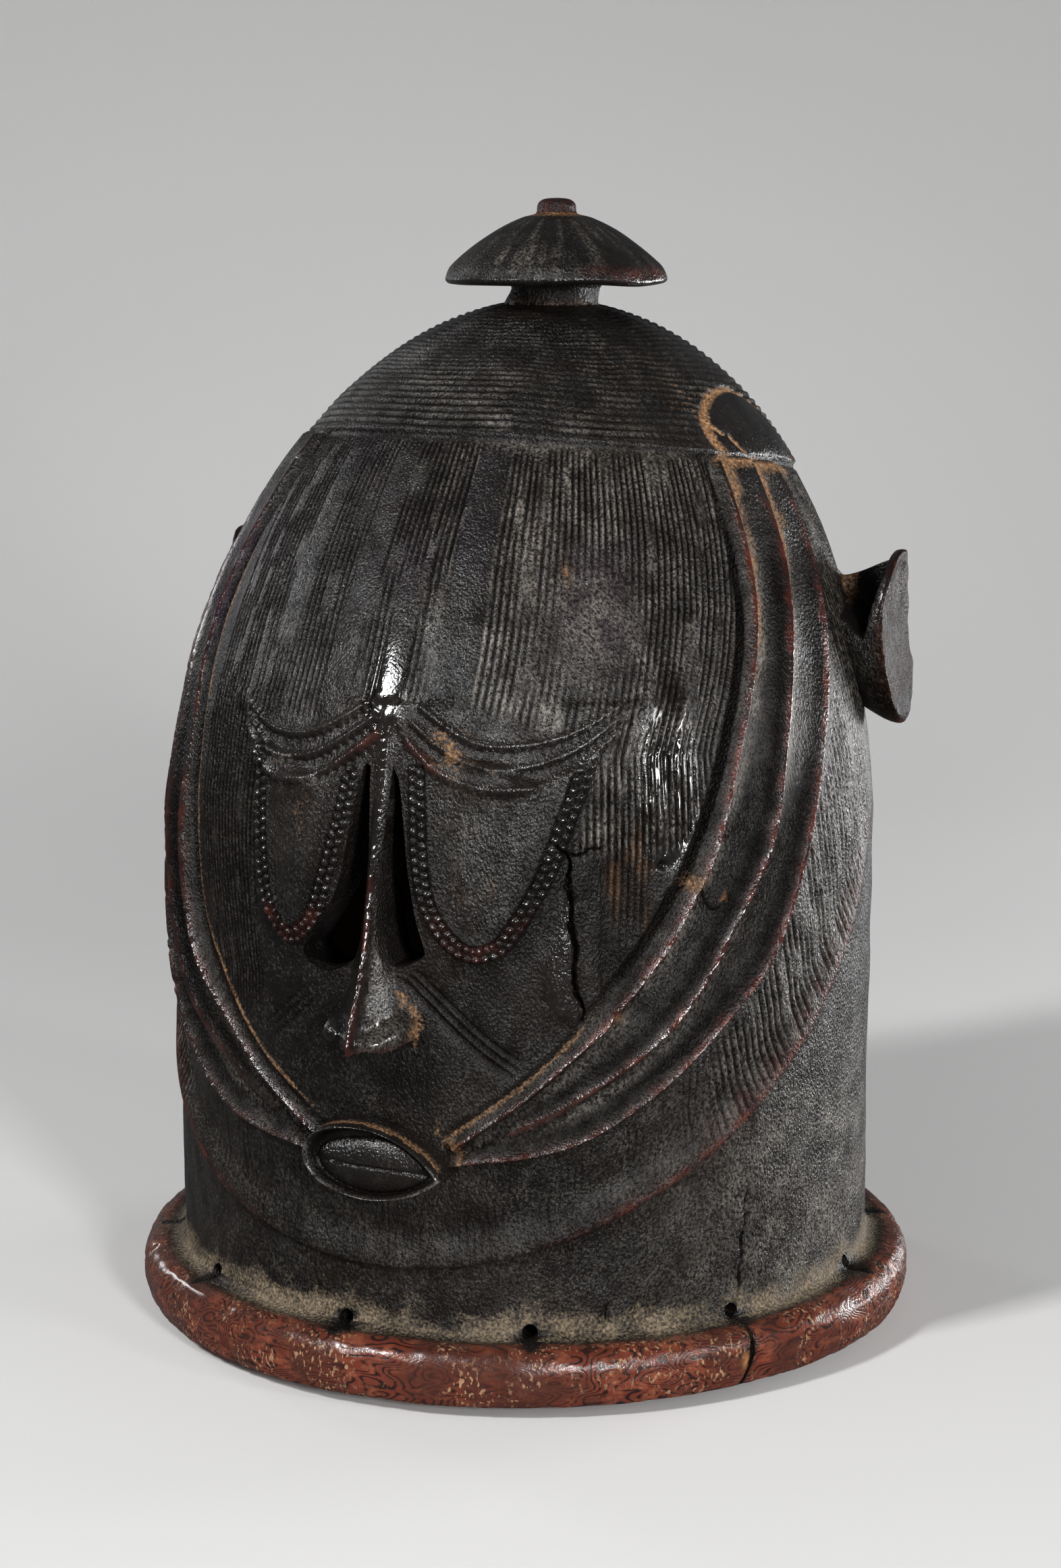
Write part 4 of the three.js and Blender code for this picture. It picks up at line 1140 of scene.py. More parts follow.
# %% [markdown]
# Each ear is an oval slab standing off the head. A funnel is scooped into its upper half from the
# front, which leaves a thin blade curling behind it up to a sharp tip, over a thick lobe. The slab and
# the funnel have hard edges, so they are remeshed into small even facets and smoothed, as a knife and
# sand would leave them.
# %% Ears
EAR_MIDDLES = {-1: 45, 1: 37}
EAR_GROWTH = {-1: 0.97, 1: 1.0}
EAR_HEIGHT = 260.5
EAR_HALF = (22, 33)
EAR_ROOT = 108
EAR_TIP = 142
EAR_OUTLINE = (
    [227, 232, 238, 249, 258, 264, 274, 286, 294],
    [141.6, 142.6, 141.4, 140.0, 138.6, 137.9, 137.9, 139.4, 141.6],
)
EAR_VOXEL = 0.8
STREAK_PITCH = 2.6
FUNNEL = [
    (110, 304), (139.6, 304), (139.2, 288), (137.2, 272),
    (133.6, 258.5), (126.5, 265.5), (119, 272), (110, 277),
]
FUNNEL_EDGE = ([258.5, 272, 288, 304], [133.4, 136.4, 138.4, 139.6])
FUNNEL_FRONT = 36
FUNNEL_DEEP = 10
FUNNEL_NARROWS = 0.74
EAR_TRIANGLES = 5600


def thicken(work, way):
    """Extrudes all faces along way, and returns the new vertices."""
    grown = bmesh.ops.extrude_face_region(work, geom=work.faces[:])
    moved = [item for item in grown["geom"] if isinstance(item, bmesh.types.BMVert)]
    bmesh.ops.translate(work, vec=way, verts=moved)
    return moved


def cut_out(corners, depth, way):
    """A plate drawn in the front view at a depth, and thickened along way."""
    work = bmesh.new()
    work.faces.new([work.verts.new((x * MM, depth, z * MM)) for x, z in corners])
    return work, thicken(work, way)


def slab(half_depth, half_length, centre, near, far, name):
    """An oval slab across X, between near and far."""
    work = bmesh.new()
    bmesh.ops.create_circle(work, cap_ends=True, segments=56, radius=1)
    place = Matrix.Translation((near * MM, centre[0] * MM, centre[1] * MM))
    stand = Matrix(((0, 0, 1, 0), (half_depth * MM, 0, 0, 0), (0, half_length * MM, 0, 0), (0, 0, 0, 1)))
    bmesh.ops.transform(work, matrix=place @ stand, verts=work.verts)
    thicken(work, ((far - near) * MM, 0, 0))
    return solid_from(work, name)


def funnel_tool(middle_depth):
    """A funnel that is open to the front and top, and narrows towards the back blade."""
    front = (middle_depth - FUNNEL_FRONT) * MM
    work, moved = cut_out(FUNNEL, front, (0, (FUNNEL_FRONT + FUNNEL_DEEP) * MM, 0))
    heart = Vector((131, 0, 288)) * MM
    for spot in moved:
        spot.co.x = heart.x + (spot.co.x - heart.x) * FUNNEL_NARROWS
        spot.co.z = heart.z + (spot.co.z - heart.z) * FUNNEL_NARROWS
    return solid_from(work, "funnel")


def carve(thing, tool, way):
    """Joins a tool to a thing or cuts it away, and removes the tool."""
    cut = thing.modifiers.new("carve", "BOOLEAN")
    cut.object = tool
    cut.operation = way
    cut.solver = "MANIFOLD"
    settle(thing)
    bpy.data.objects.remove(tool)


def make_ear(side):
    depth = EAR_MIDDLES[side]
    ear = slab(*EAR_HALF, (depth, EAR_HEIGHT), EAR_ROOT, EAR_TIP, f"ear_{side}")
    carve(ear, funnel_tool(depth), "DIFFERENCE")
    small = ear.modifiers.new("small facets", "REMESH")
    small.mode = "VOXEL"
    small.voxel_size = EAR_VOXEL * MM
    rub = ear.modifiers.new("rubbed edges", "SMOOTH")
    rub.iterations = 6
    rub.factor = 0.5
    settle(ear)
    spots = points_of(ear)
    x, y, up = spots.T
    share_out = (x - EAR_ROOT) / (EAR_TIP - EAR_ROOT)
    reach_out = np.interp(up, *EAR_OUTLINE) * EAR_GROWTH[side]
    inner_rise = fade(share_out, 0.15, 1)
    x[:] = EAR_ROOT + share_out * (reach_out - EAR_ROOT)
    up -= 8 * inner_rise * ease(up, 262, 292)
    up += 11 * inner_rise * fade(up, 227, 252)
    lobe = fade(up, 246, 262) * ease(depth - y, 4, 20)
    y += 7 * lobe * fade(share_out, 0.35, 0.8)
    rough = 0.45 * patchy(y, up, 8, 171) + 0.2 * patchy(y, up, 3, 172)
    x += rough * ease(x, 118, 126)
    streaks = mound(off_mark(x, STREAK_PITCH), 0.8) * ease(up, 262, 268)
    y += 0.35 * streaks * (y > depth)
    x *= side
    set_coordinates(ear.data, spots * MM)
    few = ear.modifiers.new("fewer triangles", "DECIMATE")
    few.ratio = min(1, EAR_TRIANGLES / (2 * len(ear.data.polygons)))
    settle(ear)
    x, y, up = points_of(ear).T
    outer = np.abs(x)
    rim = ease(outer, np.interp(up, *EAR_OUTLINE) * EAR_GROWTH[side] - 3.5, EAR_TIP - 0.5)
    funnel_edge = np.interp(up, *FUNNEL_EDGE)
    in_funnel = (up > 262) * fade(outer, 136, 139) * (y < depth + 12)
    end_dirt = 0.16 * (outer > funnel_edge + 1) * (0.5 + 0.5 * patchy(y, up, 1.7, 174))
    give_layers(ear.data, {
        "polish": np.maximum(mound(outer - funnel_edge, 1.3) * (up > 256) * (y < depth), 0.1),
        "worn": 0.15 * rim * (up > EAR_HEIGHT - 20) + 0.3 * fade(up, 228, 233),
        "ash": 0.16 * fade(up, 252, 262) * (0.6 + 0.4 * patchy(y, up, 3, 173)),
        # Painted shade in the funnel and on the outer rim, which also dulls the rim's shine.
        "deep": np.maximum(0.5 * in_funnel, 0.95 * ease(outer, funnel_edge - 1, funnel_edge + 1)),
        "dirt": 0.3 * fade(outer, 119, 123) * (up > EAR_HEIGHT) + end_dirt,
    })
    face_outwards(ear.data)
    return ear


ears = [make_ear(side) for side in (-1, 1)]
print("ears have", [len(ear.data.polygons) for ear in ears], "faces")

# %% [markdown]
# The solids are joined to the block by a union, so that ear, mouth and finial grow out of one surface
# with no inner faces left. That is what a mask cut from one piece of wood has, and it keeps the mesh
# closed for the cuts that follow.
# %% Joining the solids
for solid in (finial, mouth, *ears):
    carve(mask, solid, "UNION")
print("joined mask has", len(mask.data.polygons), "faces")

# %% [markdown]
# The cutting comes last, as it does on the bench: the eye slits go right through, the inside is
# hollowed out with a gouge, which leaves shallow scallops, and a row of holes is drilled above the
# flange, where a costume was once sewn on. A drying crack has opened the flange at the mask's left.
# %% Eye slits
SLIT_FRONT = -0.19
SLIT_LENGTH = 0.13
SLIT_LEFT_HAND = [
    (-5.4, 229.5), (-5.2, 212), (-5.3, 195), (-6.6, 178), (-8.6, 167), (-11.5, 161.5), (-16.5, 158),
    (-23, 156), (-29, 157.8), (-32.4, 162.4), (-30, 167), (-23.5, 176.5), (-17.8, 187), (-13, 207),
    (-9.4, 223), (-7.4, 230),
]
SLIT_RIGHT_HAND = [
    (3.0, 230), (1.4, 214), (-0.9, 196), (-1.6, 182), (-0.9, 170), (1.4, 162), (5, 160), (10, 161.4),
    (14.6, 164.6), (14.4, 168), (11.6, 178), (9.0, 194), (7.4, 210), (5.6, 224),
]


def slit_tool(outline):
    work, _ = cut_out(curve_through(outline + outline[:1], 60)[:-1], SLIT_FRONT, (0, SLIT_LENGTH, 0))
    tool = solid_from(work, "slit")
    # Painted shade on the walls of the slit.
    give_layers(tool.data, {"deep": 0.7})
    return tool


for outline in (SLIT_LEFT_HAND, SLIT_RIGHT_HAND):
    carve(mask, slit_tool(outline), "DIFFERENCE")

# %% [markdown]
# The inside is hollowed for a head: a straight bore with a dome over it, gouged in shallow scallops
# and never finished. It gets a mark of its own, the layer called inside, so that the material of the
# cut faces can be told from the outside later.
# %% The hollow
CAVITY_RADIUS = 119
CAVITY_SPRING = 186
CAVITY_TOP = 364
cavity_profile = [(0, -6)] + [(CAVITY_RADIUS, z) for z in (-6, 3, 40, 100, 150)]
for step in range(13):
    turn = step / 12 * math.pi / 2
    rise = (CAVITY_TOP - CAVITY_SPRING) * math.sin(turn)
    cavity_profile.append((CAVITY_RADIUS * math.cos(turn), CAVITY_SPRING + rise))
hollow = spun(cavity_profile, count=50, steps=72, name="hollow")
points = points_of(hollow)
x, y, up = points.T
wall_arc = np.arctan2(x, -y) * CAVITY_RADIUS
scallop = 1.1 * patchy(wall_arc, up * 0.6, 17, 181) + 0.5 * patchy(wall_arc, up, 8, 182)
shrink = 1 + np.where(up > 6, scallop - 0.6, 0) / np.maximum(np.hypot(x, y), 30)
points[:, :2] *= shrink[:, None]
y += setback(up)
set_coordinates(hollow.data, points * MM)
give_layers(hollow.data, {"raw": np.clip(0.3 + 0.25 * scallop, 0.05, 0.8), "inside": 1})
carve(mask, hollow, "DIFFERENCE")

# %% [markdown]
# The holes are drilled square to the wall, and a hot iron may have made the real ones. The crack opens
# the flange right through, up to the hole above it, because drying wood splits where it is weakest. Its
# wedge is ragged along its length and narrows inwards.
# %% Holes and the crack in the flange
HOLE_RADIUS = 3
HOLE_HEIGHT = 27.5
HOLE_STEP = 29.6
HOLE_ANGLES = [-39, -8.4, 20.8, 53.6, 84] + [113.8 + HOLE_STEP * turn for turn in range(7)]
CRACK_PATH = ([0, 8, 11, 16, 22, 30], [-2.4, -1.6, 0.2, 1.9, 2.4, 2.9])
CRACK_HALF = ([-3, 2, 9, 12, 18, 22, 27], [0.9, 0.8, 0.6, 0.7, 1.5, 1.1, 0.4])


def drill(at_angle):
    work = bmesh.new()
    bmesh.ops.create_cone(work, cap_ends=True, segments=20, radius1=HOLE_RADIUS * MM,
                          radius2=(HOLE_RADIUS - 0.3) * MM, depth=60 * MM)
    place = Matrix.Translation((0, NECK_AXIS_Y * MM, HOLE_HEIGHT * MM))
    place = place @ Matrix.Rotation(math.radians(at_angle), 4, "Z")
    place = place @ Matrix.Translation((0, -NECK_RADIUS * MM, 0)) @ Matrix.Rotation(-math.pi / 2, 4, "X")
    bmesh.ops.transform(work, matrix=place, verts=work.verts)
    tool = object_from(work, "drill")
    # Painted shade in the hole.
    give_layers(tool.data, {"deep": 0.2})
    return tool


for hole_angle in HOLE_ANGLES:
    carve(mask, drill(hole_angle), "DIFFERENCE")


def crack_tool():
    """A thin wedge, ragged along its length, that opens the flange to the hole above it."""
    work = bmesh.new()
    bmesh.ops.create_grid(work, x_segments=1, y_segments=14, size=0.5)
    thicken(work, (0, 0, 1))
    for spot in work.verts:
        up = (spot.co.y + 0.5) * 33 - 3
        inner = spot.co.z
        half = float(np.interp(up, *CRACK_HALF)) * (1 - 0.7 * inner)
        jagged = 0.9 * math.sin(up * 0.9) + 0.5 * math.sin(up * 2.3)
        slide = float(np.interp(up, *CRACK_PATH)) + 0.25 * jagged
        spot.co = Vector((slide + 2 * spot.co.x * half, -156 + inner * 27, up)) * MM
    place = Matrix.Translation((0, NECK_AXIS_Y * MM, 0)) @ Matrix.Rotation(math.radians(CRACK_ANGLE), 4, "Z")
    bmesh.ops.transform(work, matrix=place, verts=work.verts)
    tool = solid_from(work, "crack")
    # Painted shade in the crack, over the raw wood colour.
    give_layers(tool.data, {"raw": 0.9, "deep": 0.2})
    return tool


carve(mask, crack_tool(), "DIFFERENCE")
print("carved mask has", len(mask.data.polygons), "faces")

# %% [markdown]
# The booleans leave slivers and now and then an edge shared by four faces. Slivers are dissolved and
# such edges collapsed, so that the mask is closed and every edge has two faces. Shading is smooth,
# except over real corners such as the rims of the slits and holes.
# %% Clean mesh and shading
SHARP_CORNER = 62
clean = bmesh.new()
clean.from_mesh(mask.data)
bmesh.ops.dissolve_degenerate(clean, edges=clean.edges[:], dist=1e-7)
bmesh.ops.triangulate(clean, faces=clean.faces[:])
pinched = [e for e in clean.edges if not e.is_manifold]
print("pinched edges with faces", [len(e.link_faces) for e in pinched])
bmesh.ops.delete(clean, geom=[e for e in pinched if e.is_wire], context="EDGES")
bmesh.ops.collapse(clean, edges=[e for e in pinched if e.is_valid])
bmesh.ops.delete(clean, geom=[v for v in clean.verts if not v.link_faces], context="VERTS")
open_edges = sum(not e.is_manifold for e in clean.edges)
print("open edges", open_edges, "volume litres", round(clean.calc_volume() * 1e3, 2))
clean.to_mesh(mask.data)
clean.free()
mask.data.shade_smooth()
mask.data.set_sharp_from_angle(angle=math.radians(SHARP_CORNER))
print("finished mask has", len(mask.data.polygons), "triangles")

# %% [markdown]
# The finish is old black wood. One group mixes the layers that were painted while carving: painted shade in
# the grooves and on faces turned from the light, light grey ash on the ribs, which is also painted light in
# places, tan dirt in the creases, red-brown where edges are worn. A second group makes the grain. Two
# materials use them, one for the oiled outside and one for the dry inside.
# %% Node helpers
BUMP_DEPTH = 0.0006


def new_group(name, inputs, outputs):
    group = bpy.data.node_groups.new(name, "ShaderNodeTree")
    kinds = {float: "NodeSocketFloat", tuple: "NodeSocketColor"}
    for label, value in inputs:
        socket = group.interface.new_socket(label, in_out="INPUT", socket_type=kinds[type(value)])
        socket.default_value = value
    for label, kind in outputs:
        group.interface.new_socket(label, in_out="OUTPUT", socket_type=kinds[kind])
    return group, group.nodes.new("NodeGroupInput"), group.nodes.new("NodeGroupOutput")


class Bench:
    """Short names for adding and linking nodes in one tree."""

    def __init__(self, tree):
        self.tree = tree

    def node(self, kind, **settings):
        made = self.tree.nodes.new(kind)
        for key, value in settings.items():
            setattr(made, key, value)
        return made

    def link(self, source, target):
        self.tree.links.new(source, target)

    def feed(self, socket, value):
        if isinstance(value, bpy.types.NodeSocket):
            self.link(value, socket)
        else:
            socket.default_value = value

    def math(self, way, first, second=0.0, clamp=False):
        made = self.node("ShaderNodeMath", operation=way, use_clamp=clamp)
        self.feed(made.inputs[0], first)
        self.feed(made.inputs[1], second)
        return made.outputs[0]

    def times(self, first, second):
        return self.math("MULTIPLY", first, second)

    def plus(self, first, second, clamp=False):
        return self.math("ADD", first, second, clamp)

    def rest(self, value, clamp=False):
        """What is left of 1."""
        return self.math("SUBTRACT", 1.0, value, clamp)

    def span(self, value, low, high, start=0.0, end=1.0):
        made = self.node("ShaderNodeMapRange", clamp=True)
        for socket, amount in zip(made.inputs[:5], (value, low, high, start, end)):
            self.feed(socket, amount)
        return made.outputs[0]

    def blend(self, share, first, second, way="MIX"):
        made = self.node("ShaderNodeMix", data_type="RGBA", blend_type=way)
        self.feed(made.inputs["Factor"], share)
        self.feed(made.inputs[6], first)
        self.feed(made.inputs[7], second)
        return made.outputs[2]

    def noise(self, where, scale, detail=4.0, rough=0.55, stretch=None, warp=0.0):
        place = where
        if stretch is not None:
            turn = self.node("ShaderNodeMapping")
            self.link(where, turn.inputs["Vector"])
            turn.inputs["Scale"].default_value = stretch
            place = turn.outputs[0]
        made = self.node("ShaderNodeTexNoise")
        self.link(place, made.inputs["Vector"])
        self.feed(made.inputs["Scale"], scale)
        made.inputs["Detail"].default_value = detail
        made.inputs["Roughness"].default_value = rough
        made.inputs["Distortion"].default_value = warp
        return made.outputs["Fac"]

    def layer(self, name):
        return self.node("ShaderNodeAttribute", attribute_name=name).outputs["Fac"]

    def place(self):
        return self.node("ShaderNodeTexCoord").outputs["Object"]

    def bump(self, height, strength, shader):
        made = self.node("ShaderNodeBump")
        made.inputs["Distance"].default_value = BUMP_DEPTH
        self.link(height, made.inputs["Height"])
        self.feed(made.inputs["Strength"], strength)
        self.link(made.outputs[0], shader.inputs["Normal"])


# %% [markdown]
# The grain runs upright, as in any block that stands on its end. It is a noise drawn out along the
# trunk, with a slow wander laid over it. A noise is enough, because under the oil only a hint of the
# fibres shows.
# %% Grain group
grain_group, grain_in, grain_out = new_group(
    "wood_grain", [("Fineness", 1.0)], [("Lines", float), ("Bump", float)])
b = Bench(grain_group)
where = b.place()
wander = b.noise(where, 22, 3.0, 0.6, (1, 1, 0.35))
rings = b.noise(where, b.times(grain_in.outputs["Fineness"], 420), 4, 0.5, (1, 1, 0.12), 1.2)
b.link(rings, grain_out.inputs["Lines"])
b.link(b.plus(b.times(rings, 0.6), b.times(wander, 0.4)), grain_out.inputs["Bump"])

# %% [markdown]
# The patina is laid in the order in which it came about, with painted light and shade set among it. First
# the black of oil and soot, with a painted purple sheen in patches, then a grey bloom of ash and specks, the
# ash also painted light in places, then painted shade in the grooves and hollows and on faces turned from
# the light, which also dulls their shine, then wear down to the red wood, raw chips, and dirt last, since
# dust settles on everything. Polish has no colour, it only makes the skin smoother and shinier.
# %% Patina group
SOOT = (0.0036, 0.0028, 0.0025, 1)
SOOT_BROWN = (0.0075, 0.0056, 0.0046, 1)
PLUM_SHEEN = (0.0035, 0.0004, 0.0065, 1)
SPECK_GREY = (0.055, 0.049, 0.042, 1)
ASH_AND_LIGHT_GREY = (0.21, 0.188, 0.162, 1)
PAINTED_SHADE_DARK = (0.0025, 0.002, 0.0018, 1)
REDS = ((0.04, 0.005, 0.003, 1), (0.13, 0.022, 0.01, 1))
RAW_WOODS = ((0.13, 0.055, 0.02, 1), (0.4, 0.18, 0.065, 1))
TANS = ((0.12, 0.06, 0.028, 1), (0.4, 0.225, 0.115, 1))
BUFFS = ((0.08, 0.062, 0.043, 1), (0.27, 0.21, 0.14, 1))
patina_group, patina_in, patina_out = new_group(
    "old_patina",
    [("Base", SOOT), ("Base roughness", 0.36)],
    [("Color", tuple), ("Roughness", float), ("Dust", float), ("Shine", float)],
)
b = Bench(patina_group)
where = b.place()
fine = b.noise(where, 900, 4.0, 0.6)
grains = b.noise(where, 950, 4.0, 0.65, (1, 1, 0.7))
coarse = b.noise(where, 120, 5.0, 0.6)
broad = b.noise(where, 18, 4.0, 0.55)
color = b.blend(b.span(broad, 0.42, 0.62), patina_in.outputs["Base"], SOOT_BROWN)
parts = b.node("ShaderNodeSeparateXYZ")
b.link(where, parts.inputs[0])
up = parts.outputs["Z"]
# Painted sheen: a purple tint mixed into the black in patches on the upper forehead and the edge of the cap.
plum_sheen_share = b.times(b.span(b.noise(where, 14, 2.0, 0.5), 0.5, 0.66), b.span(up, 0.25, 0.28))
plum_sheen_share = b.times(plum_sheen_share, b.span(up, 0.325, 0.34, 1.0, 0.0))
painted_plum_sheen = b.blend(plum_sheen_share, (0.0, 0.0, 0.0, 1), PLUM_SHEEN)
color = b.blend(1.0, color, painted_plum_sheen, "ADD")
dry = b.rest(b.layer("polish"), clamp=True)
speckle = b.times(b.span(grains, 0.53, 0.6), b.span(coarse, 0.45, 0.62, 0.04, 1.0))
color = b.blend(b.times(b.times(speckle, dry), 0.42), color, SPECK_GREY)
blotch = b.noise(where, 95, 4.0, 0.6)
# Grey ash, which on the neck, the cap ribs, the frame channels, the beard panel and the nose flank is also
# painted light on the side that the lamps reach.
ash_amount = b.times(b.layer("ash"), b.span(grains, 0.42, 0.6, 0.02, 1.0))
ash_amount = b.times(ash_amount, b.span(blotch, 0.38, 0.62, 0.4, 1.2))
color = b.blend(b.times(ash_amount, 0.85), color, ASH_AND_LIGHT_GREY)
# Painted shade: the layer deep darkens grooves, hollows and faces turned from the light.
color = b.blend(b.times(b.layer("deep"), 0.85), color, PAINTED_SHADE_DARK)
red = b.blend(b.span(coarse, 0.4, 0.65), *REDS)
worn_amount = b.times(b.layer("worn"), b.span(coarse, 0.34, 0.54, 0.3, 1))
color = b.blend(worn_amount, color, red)
raw_color = b.blend(b.span(coarse, 0.4, 0.6), *RAW_WOODS)
color = b.blend(b.layer("raw"), color, raw_color)
tan = b.blend(b.span(fine, 0.35, 0.65), *TANS)
dirt_edge = b.span(b.plus(b.layer("dirt"), b.times(b.plus(fine, -0.5), 1.1)), 0.12, 0.85)
dirt_amount = b.times(dirt_edge, b.span(b.layer("dirt"), 0.02, 0.2))
buff = b.blend(b.span(fine, 0.35, 0.65), *BUFFS)
dust_color = b.blend(b.span(up, 0.045, 0.06), buff, tan)
color = b.blend(dirt_amount, color, dust_color)
b.link(color, patina_out.inputs["Color"])
rough = b.plus(patina_in.outputs["Base roughness"], b.span(grains, 0.35, 0.65, -0.05, 0.09))
rough = b.plus(rough, b.times(b.layer("polish"), -0.26))
rough = b.plus(rough, b.times(dirt_amount, 0.4))
rough = b.plus(rough, b.times(ash_amount, 0.12), clamp=True)
b.link(rough, patina_out.inputs["Roughness"])
b.link(dirt_amount, patina_out.inputs["Dust"])
shine = b.plus(0.24, b.times(b.layer("polish"), 0.6))
# Painted shade also dulls the shine where the layer deep lies.
shine = b.times(shine, b.rest(b.times(b.layer("deep"), 0.8)))
shine = b.times(shine, b.rest(b.times(dirt_amount, 0.7)))
shine = b.times(shine, b.span(blotch, 0.36, 0.64, 0.55, 1.35))
b.link(shine, patina_out.inputs["Shine"])

# %% [markdown]
# The outside is the patina over wood that was oiled for years. Only on the edge of the foot has the
# black gone: there the broad figure of the red-brown wood shows, with darker stains and pale chips.
# Fine pores and a crackled skin break up the shine, and calm down where hands have polished.
# %% Oiled outside
FIGURE_COLORS = ((0.013, 0.0055, 0.005, 1), (0.11, 0.023, 0.012, 1))
FOOT_LIGHT = (0.2, 0.055, 0.026, 1)
FOOT_STAIN = (0.045, 0.014, 0.009, 1)
FOOT_CHIP = (0.33, 0.2, 0.11, 1)


def start_material(name):
    """A new material, with a bench for its nodes, its shader, the patina and the grain."""
    made = bpy.data.materials.new(name)
    made.use_nodes = True
    bench = Bench(made.node_tree)
    shader = made.node_tree.nodes["Principled BSDF"]
    patina = bench.node("ShaderNodeGroup", node_tree=patina_group)
    grain = bench.node("ShaderNodeGroup", node_tree=grain_group)
    bench.link(patina.outputs["Roughness"], shader.inputs["Roughness"])
    return made, bench, shader, patina, grain


outside, b, shader, patina, grain = start_material("oiled_black_wood")
where = b.place()
foot = b.layer("foot")
figure = b.noise(where, 26, 2.0, 0.5, (1, 1, 2.4))
lines = b.math("SINE", b.times(b.plus(figure, b.times(grain.outputs["Lines"], 0.015)), 190))
dark_line = b.span(lines, -0.9, 0.1)
foot_color = b.blend(dark_line, *FIGURE_COLORS)
light_share = b.span(b.noise(where, 150, 3.0, 0.6, (1, 1, 2)), 0.5, 0.66, 0.0, 0.8)
foot_color = b.blend(light_share, foot_color, FOOT_LIGHT)
stain_share = b.span(b.noise(where, 40, 3.0, 0.6), 0.42, 0.6, 0.0, 0.75)
foot_color = b.blend(stain_share, foot_color, FOOT_STAIN)
chips = b.span(b.noise(where, 760, 2.0, 0.5, (1, 1, 0.6)), 0.58, 0.64)
chips = b.times(chips, b.span(b.noise(where, 60, 2.0, 0.5), 0.45, 0.6))
foot_color = b.blend(b.times(chips, 0.8), foot_color, FOOT_CHIP)
foot_share = b.times(foot, b.rest(patina.outputs["Dust"]))
foot_share = b.times(foot_share, b.rest(b.layer("raw")))
b.link(b.blend(foot_share, patina.outputs["Color"], foot_color), shader.inputs["Base Color"])
crackle = b.node("ShaderNodeTexVoronoi", feature="DISTANCE_TO_EDGE")
b.link(where, crackle.inputs["Vector"])
crackle.inputs["Scale"].default_value = 520
pores = b.noise(where, 1150, 2.0, 0.5, (1, 1, 0.7))
lumps = b.noise(where, 190, 2.0, 0.45)
skin_bump = b.plus(b.times(pores, 1.5), b.times(lumps, 0.3))
skin_bump = b.plus(skin_bump, b.span(crackle.outputs["Distance"], 0.0, 0.2, -0.07, 0.0))
skin_bump = b.plus(skin_bump, b.times(b.times(dark_line, foot), 0.5))
calm = b.plus(b.times(b.layer("polish"), 0.9), b.times(foot, 0.55))
calm = b.plus(calm, b.times(b.layer("ash"), 0.4), clamp=True)
b.bump(skin_bump, b.rest(calm), shader)
b.link(patina.outputs["Shine"], shader.inputs["Specular IOR Level"])

# %% [markdown]
# Nobody oiled the inside. It is the same wood left dry, brown with age and dull, and its grain lines
# show. It shares both groups with the outside and only changes their colour, roughness and fineness.
# %% Dry inside
DRY_BROWN = (0.06, 0.038, 0.024, 1)
DRY_LINES = (0.02, 0.012, 0.008, 1)
inside, b, shader, patina, grain = start_material("dry_inside_wood")
patina.inputs["Base"].default_value = DRY_BROWN
patina.inputs["Base roughness"].default_value = 0.72
grain.inputs["Fineness"].default_value = 0.6
line_share = b.times(b.span(grain.outputs["Lines"], 0.45, 0.65), 0.6)
b.link(b.blend(line_share, patina.outputs["Color"], DRY_LINES), shader.inputs["Base Color"])
b.bump(grain.outputs["Bump"], 0.8, shader)

# %% [markdown]
# The cut that made the hollow left its mark on every new vertex. A face whose corners mostly carry
# the mark belongs to the inside, so the border between the two materials runs along the lower rim.
# %% Giving the materials to the faces
INSIDE_FROM = 0.7
mask.data.materials.clear()
mask.data.materials.append(outside)
mask.data.materials.append(inside)
mark = np.zeros(len(mask.data.vertices), np.float32)
mask.data.attributes["inside"].data.foreach_get("value", mark)
corners = np.empty(3 * len(mask.data.polygons), np.int32)
mask.data.loops.foreach_get("vertex_index", corners)
face_mark = mark[corners].reshape(-1, 3).mean(axis=1)
is_inside = face_mark > INSIDE_FROM
mask.data.polygons.foreach_set("material_index", is_inside.astype(np.int32))
print("inside faces", int(is_inside.sum()))

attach(mask, "root")
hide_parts("carved_mask")

# %% [markdown]
# The mask stands on a pale sweep: a floor that curves up into a wall all round, so that no horizon
# shows from any side. It is spun round the axis like the finial, and hidden from reflections, which
# keeps the oiled wood black.
# %% Sweep
FLAT_RADIUS = 1.1
WALL_CURVE = 2.6
PAPER = (0.66, 0.655, 0.65, 1)
path = [(0.001, 0), (0.4, 0), (0.8, 0), (FLAT_RADIUS, 0)]
for step in range(1, 25):
    turn = step / 24 * math.pi / 2
    path.append((FLAT_RADIUS + WALL_CURVE * math.sin(turn), WALL_CURVE * (1 - math.cos(turn))))
work = spin_round(path, steps=96, weld=0.002)
bmesh.ops.reverse_faces(work, faces=work.faces)
floor = object_from(work, "floor")
floor.data.shade_smooth()
pale = bpy.data.materials.new("pale_paper")
pale.use_nodes = True
paper = pale.node_tree.nodes["Principled BSDF"].inputs
paper["Base Color"].default_value = PAPER
paper["Roughness"].default_value = 0.9
floor.data.materials.append(pale)
floor.visible_glossy = False

# %% [markdown]
# The photograph was taken in a dark studio with a few small lights. One high at the front left picks
# out the root of the nose. A narrow one and a small one at the right run down the ridges and the
# cheek. Two behind draw the outline, and one washes the wall, so that the ground stays pale.
# %% Lights and sky
AIM = Vector((0, 0, 0.21))
SKY_COLOR = (0.95, 0.97, 1, 1)
SKY_POWER = 0.12


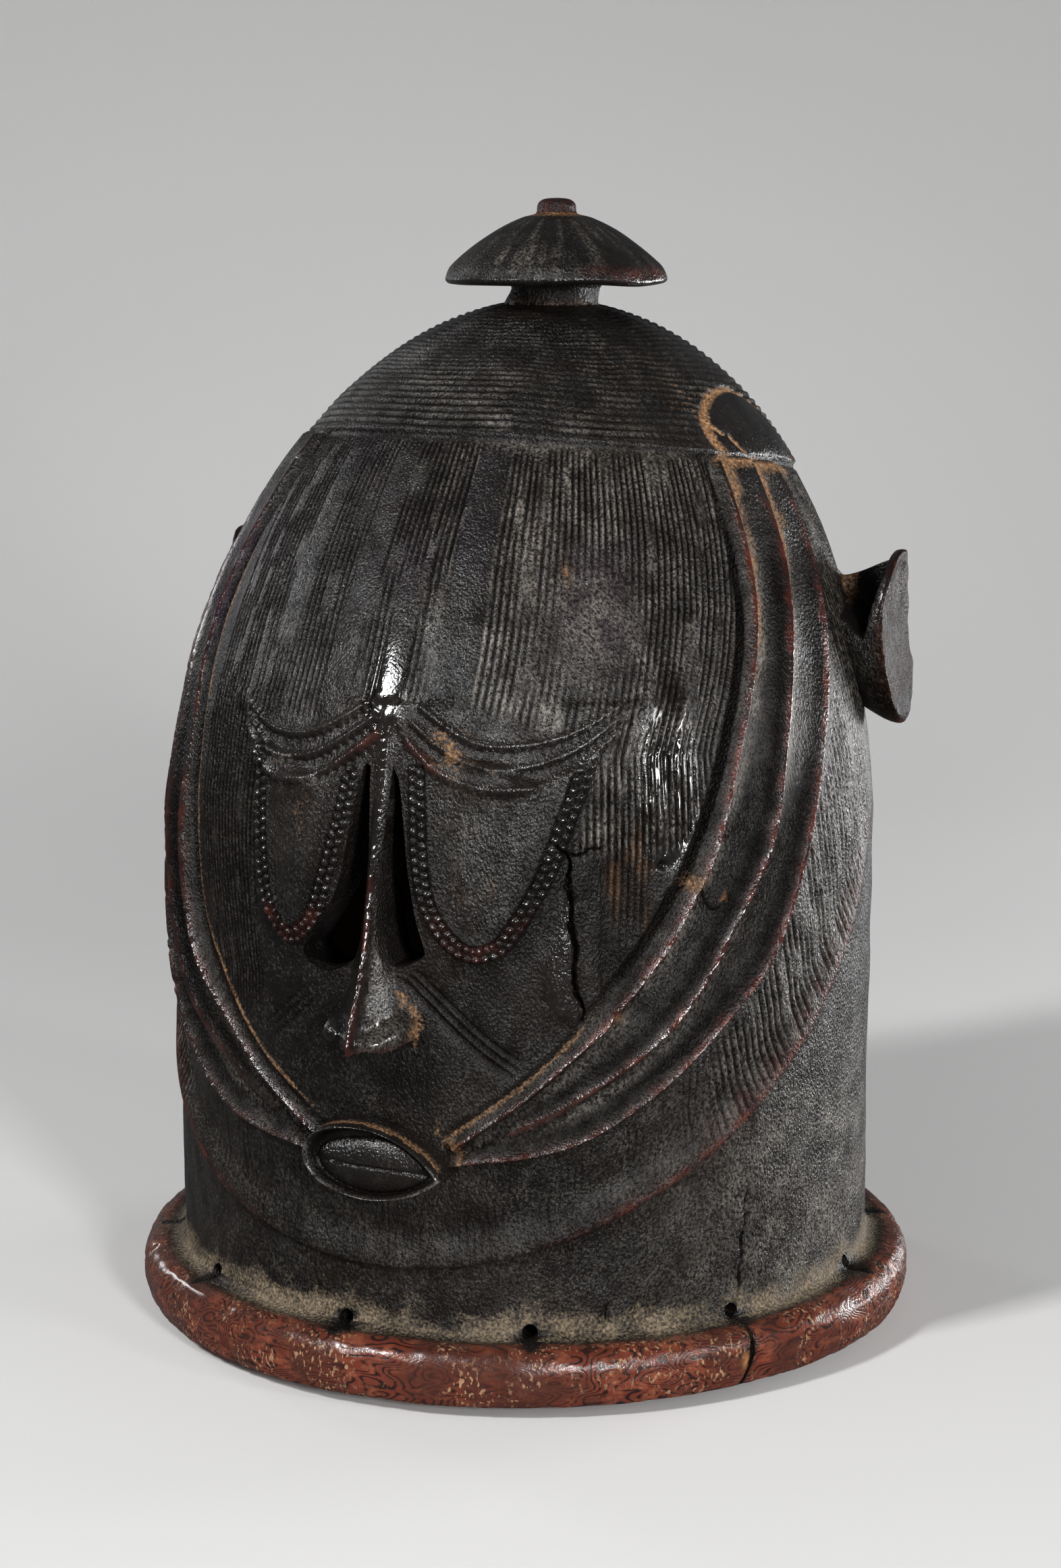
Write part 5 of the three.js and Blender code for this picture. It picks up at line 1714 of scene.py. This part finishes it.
def soft_light(name, bearing, rise, distance, size, power, aim=AIM):
    """A soft box round the mask: bearing 0 is in front of the face, and positive to the viewer's right."""
    lamp = bpy.data.lights.new(name, "AREA")
    lamp.shape = "RECTANGLE"
    lamp.size, lamp.size_y = size
    lamp.energy = power
    thing = bpy.data.objects.new(name, lamp)
    bpy.context.scene.collection.objects.link(thing)
    turn = math.radians(bearing)
    lift = math.radians(rise)
    way = Vector((math.sin(turn) * math.cos(lift), -math.cos(turn) * math.cos(lift), math.sin(lift)))
    thing.location = AIM + way * distance
    thing.rotation_euler = (thing.location - aim).to_track_quat("Z", "Y").to_euler()
    thing.visible_camera = False


soft_light("front_left_small", -29, 37, 2.0, (0.2, 0.3), 34)
soft_light("right_strip", 40, 12, 2.0, (0.24, 0.38), 33)
soft_light("right_back", 138, -2, 1.6, (0.7, 0.3), 24)
soft_light("right_small", 73, 18, 2.0, (0.2, 0.4), 6)
soft_light("left_back", -116, 16, 1.9, (0.3, 0.7), 4)
soft_light("wall_wash", 200, 40, 1.9, (1.6, 0.6), 8, Vector((-1.25, 3.4, 0.2)))
world = bpy.data.worlds.new("dim_studio")
world.use_nodes = True
sky = world.node_tree.nodes["Background"].inputs
sky["Color"].default_value = SKY_COLOR
sky["Strength"].default_value = SKY_POWER
bpy.context.scene.world = world
bpy.context.scene.view_settings.view_transform = "Standard"

# %% [markdown]
# The camera stands where the photograph was taken: a little above the mask and 20 degrees to its
# left, with a long lens.
# %% Camera
CAMERA_PLACE = (0.3949, -1.0710, 0.4040)
CAMERA_PITCH = 10.05
CAMERA_YAW = 20
FOCAL_PIXELS = 4471
FRAME_PIXELS = 2324
lens = bpy.data.cameras.new("camera")
lens.sensor_width = 36
lens.lens = FOCAL_PIXELS * lens.sensor_width / FRAME_PIXELS
lens.clip_start = 0.01
camera = bpy.data.objects.new("camera", lens)
bpy.context.scene.collection.objects.link(camera)
camera.location = CAMERA_PLACE
camera.rotation_euler = (math.radians(90 - CAMERA_PITCH), 0, math.radians(CAMERA_YAW))
bpy.context.scene.camera = camera
print("lens", round(lens.lens, 2), "mm")
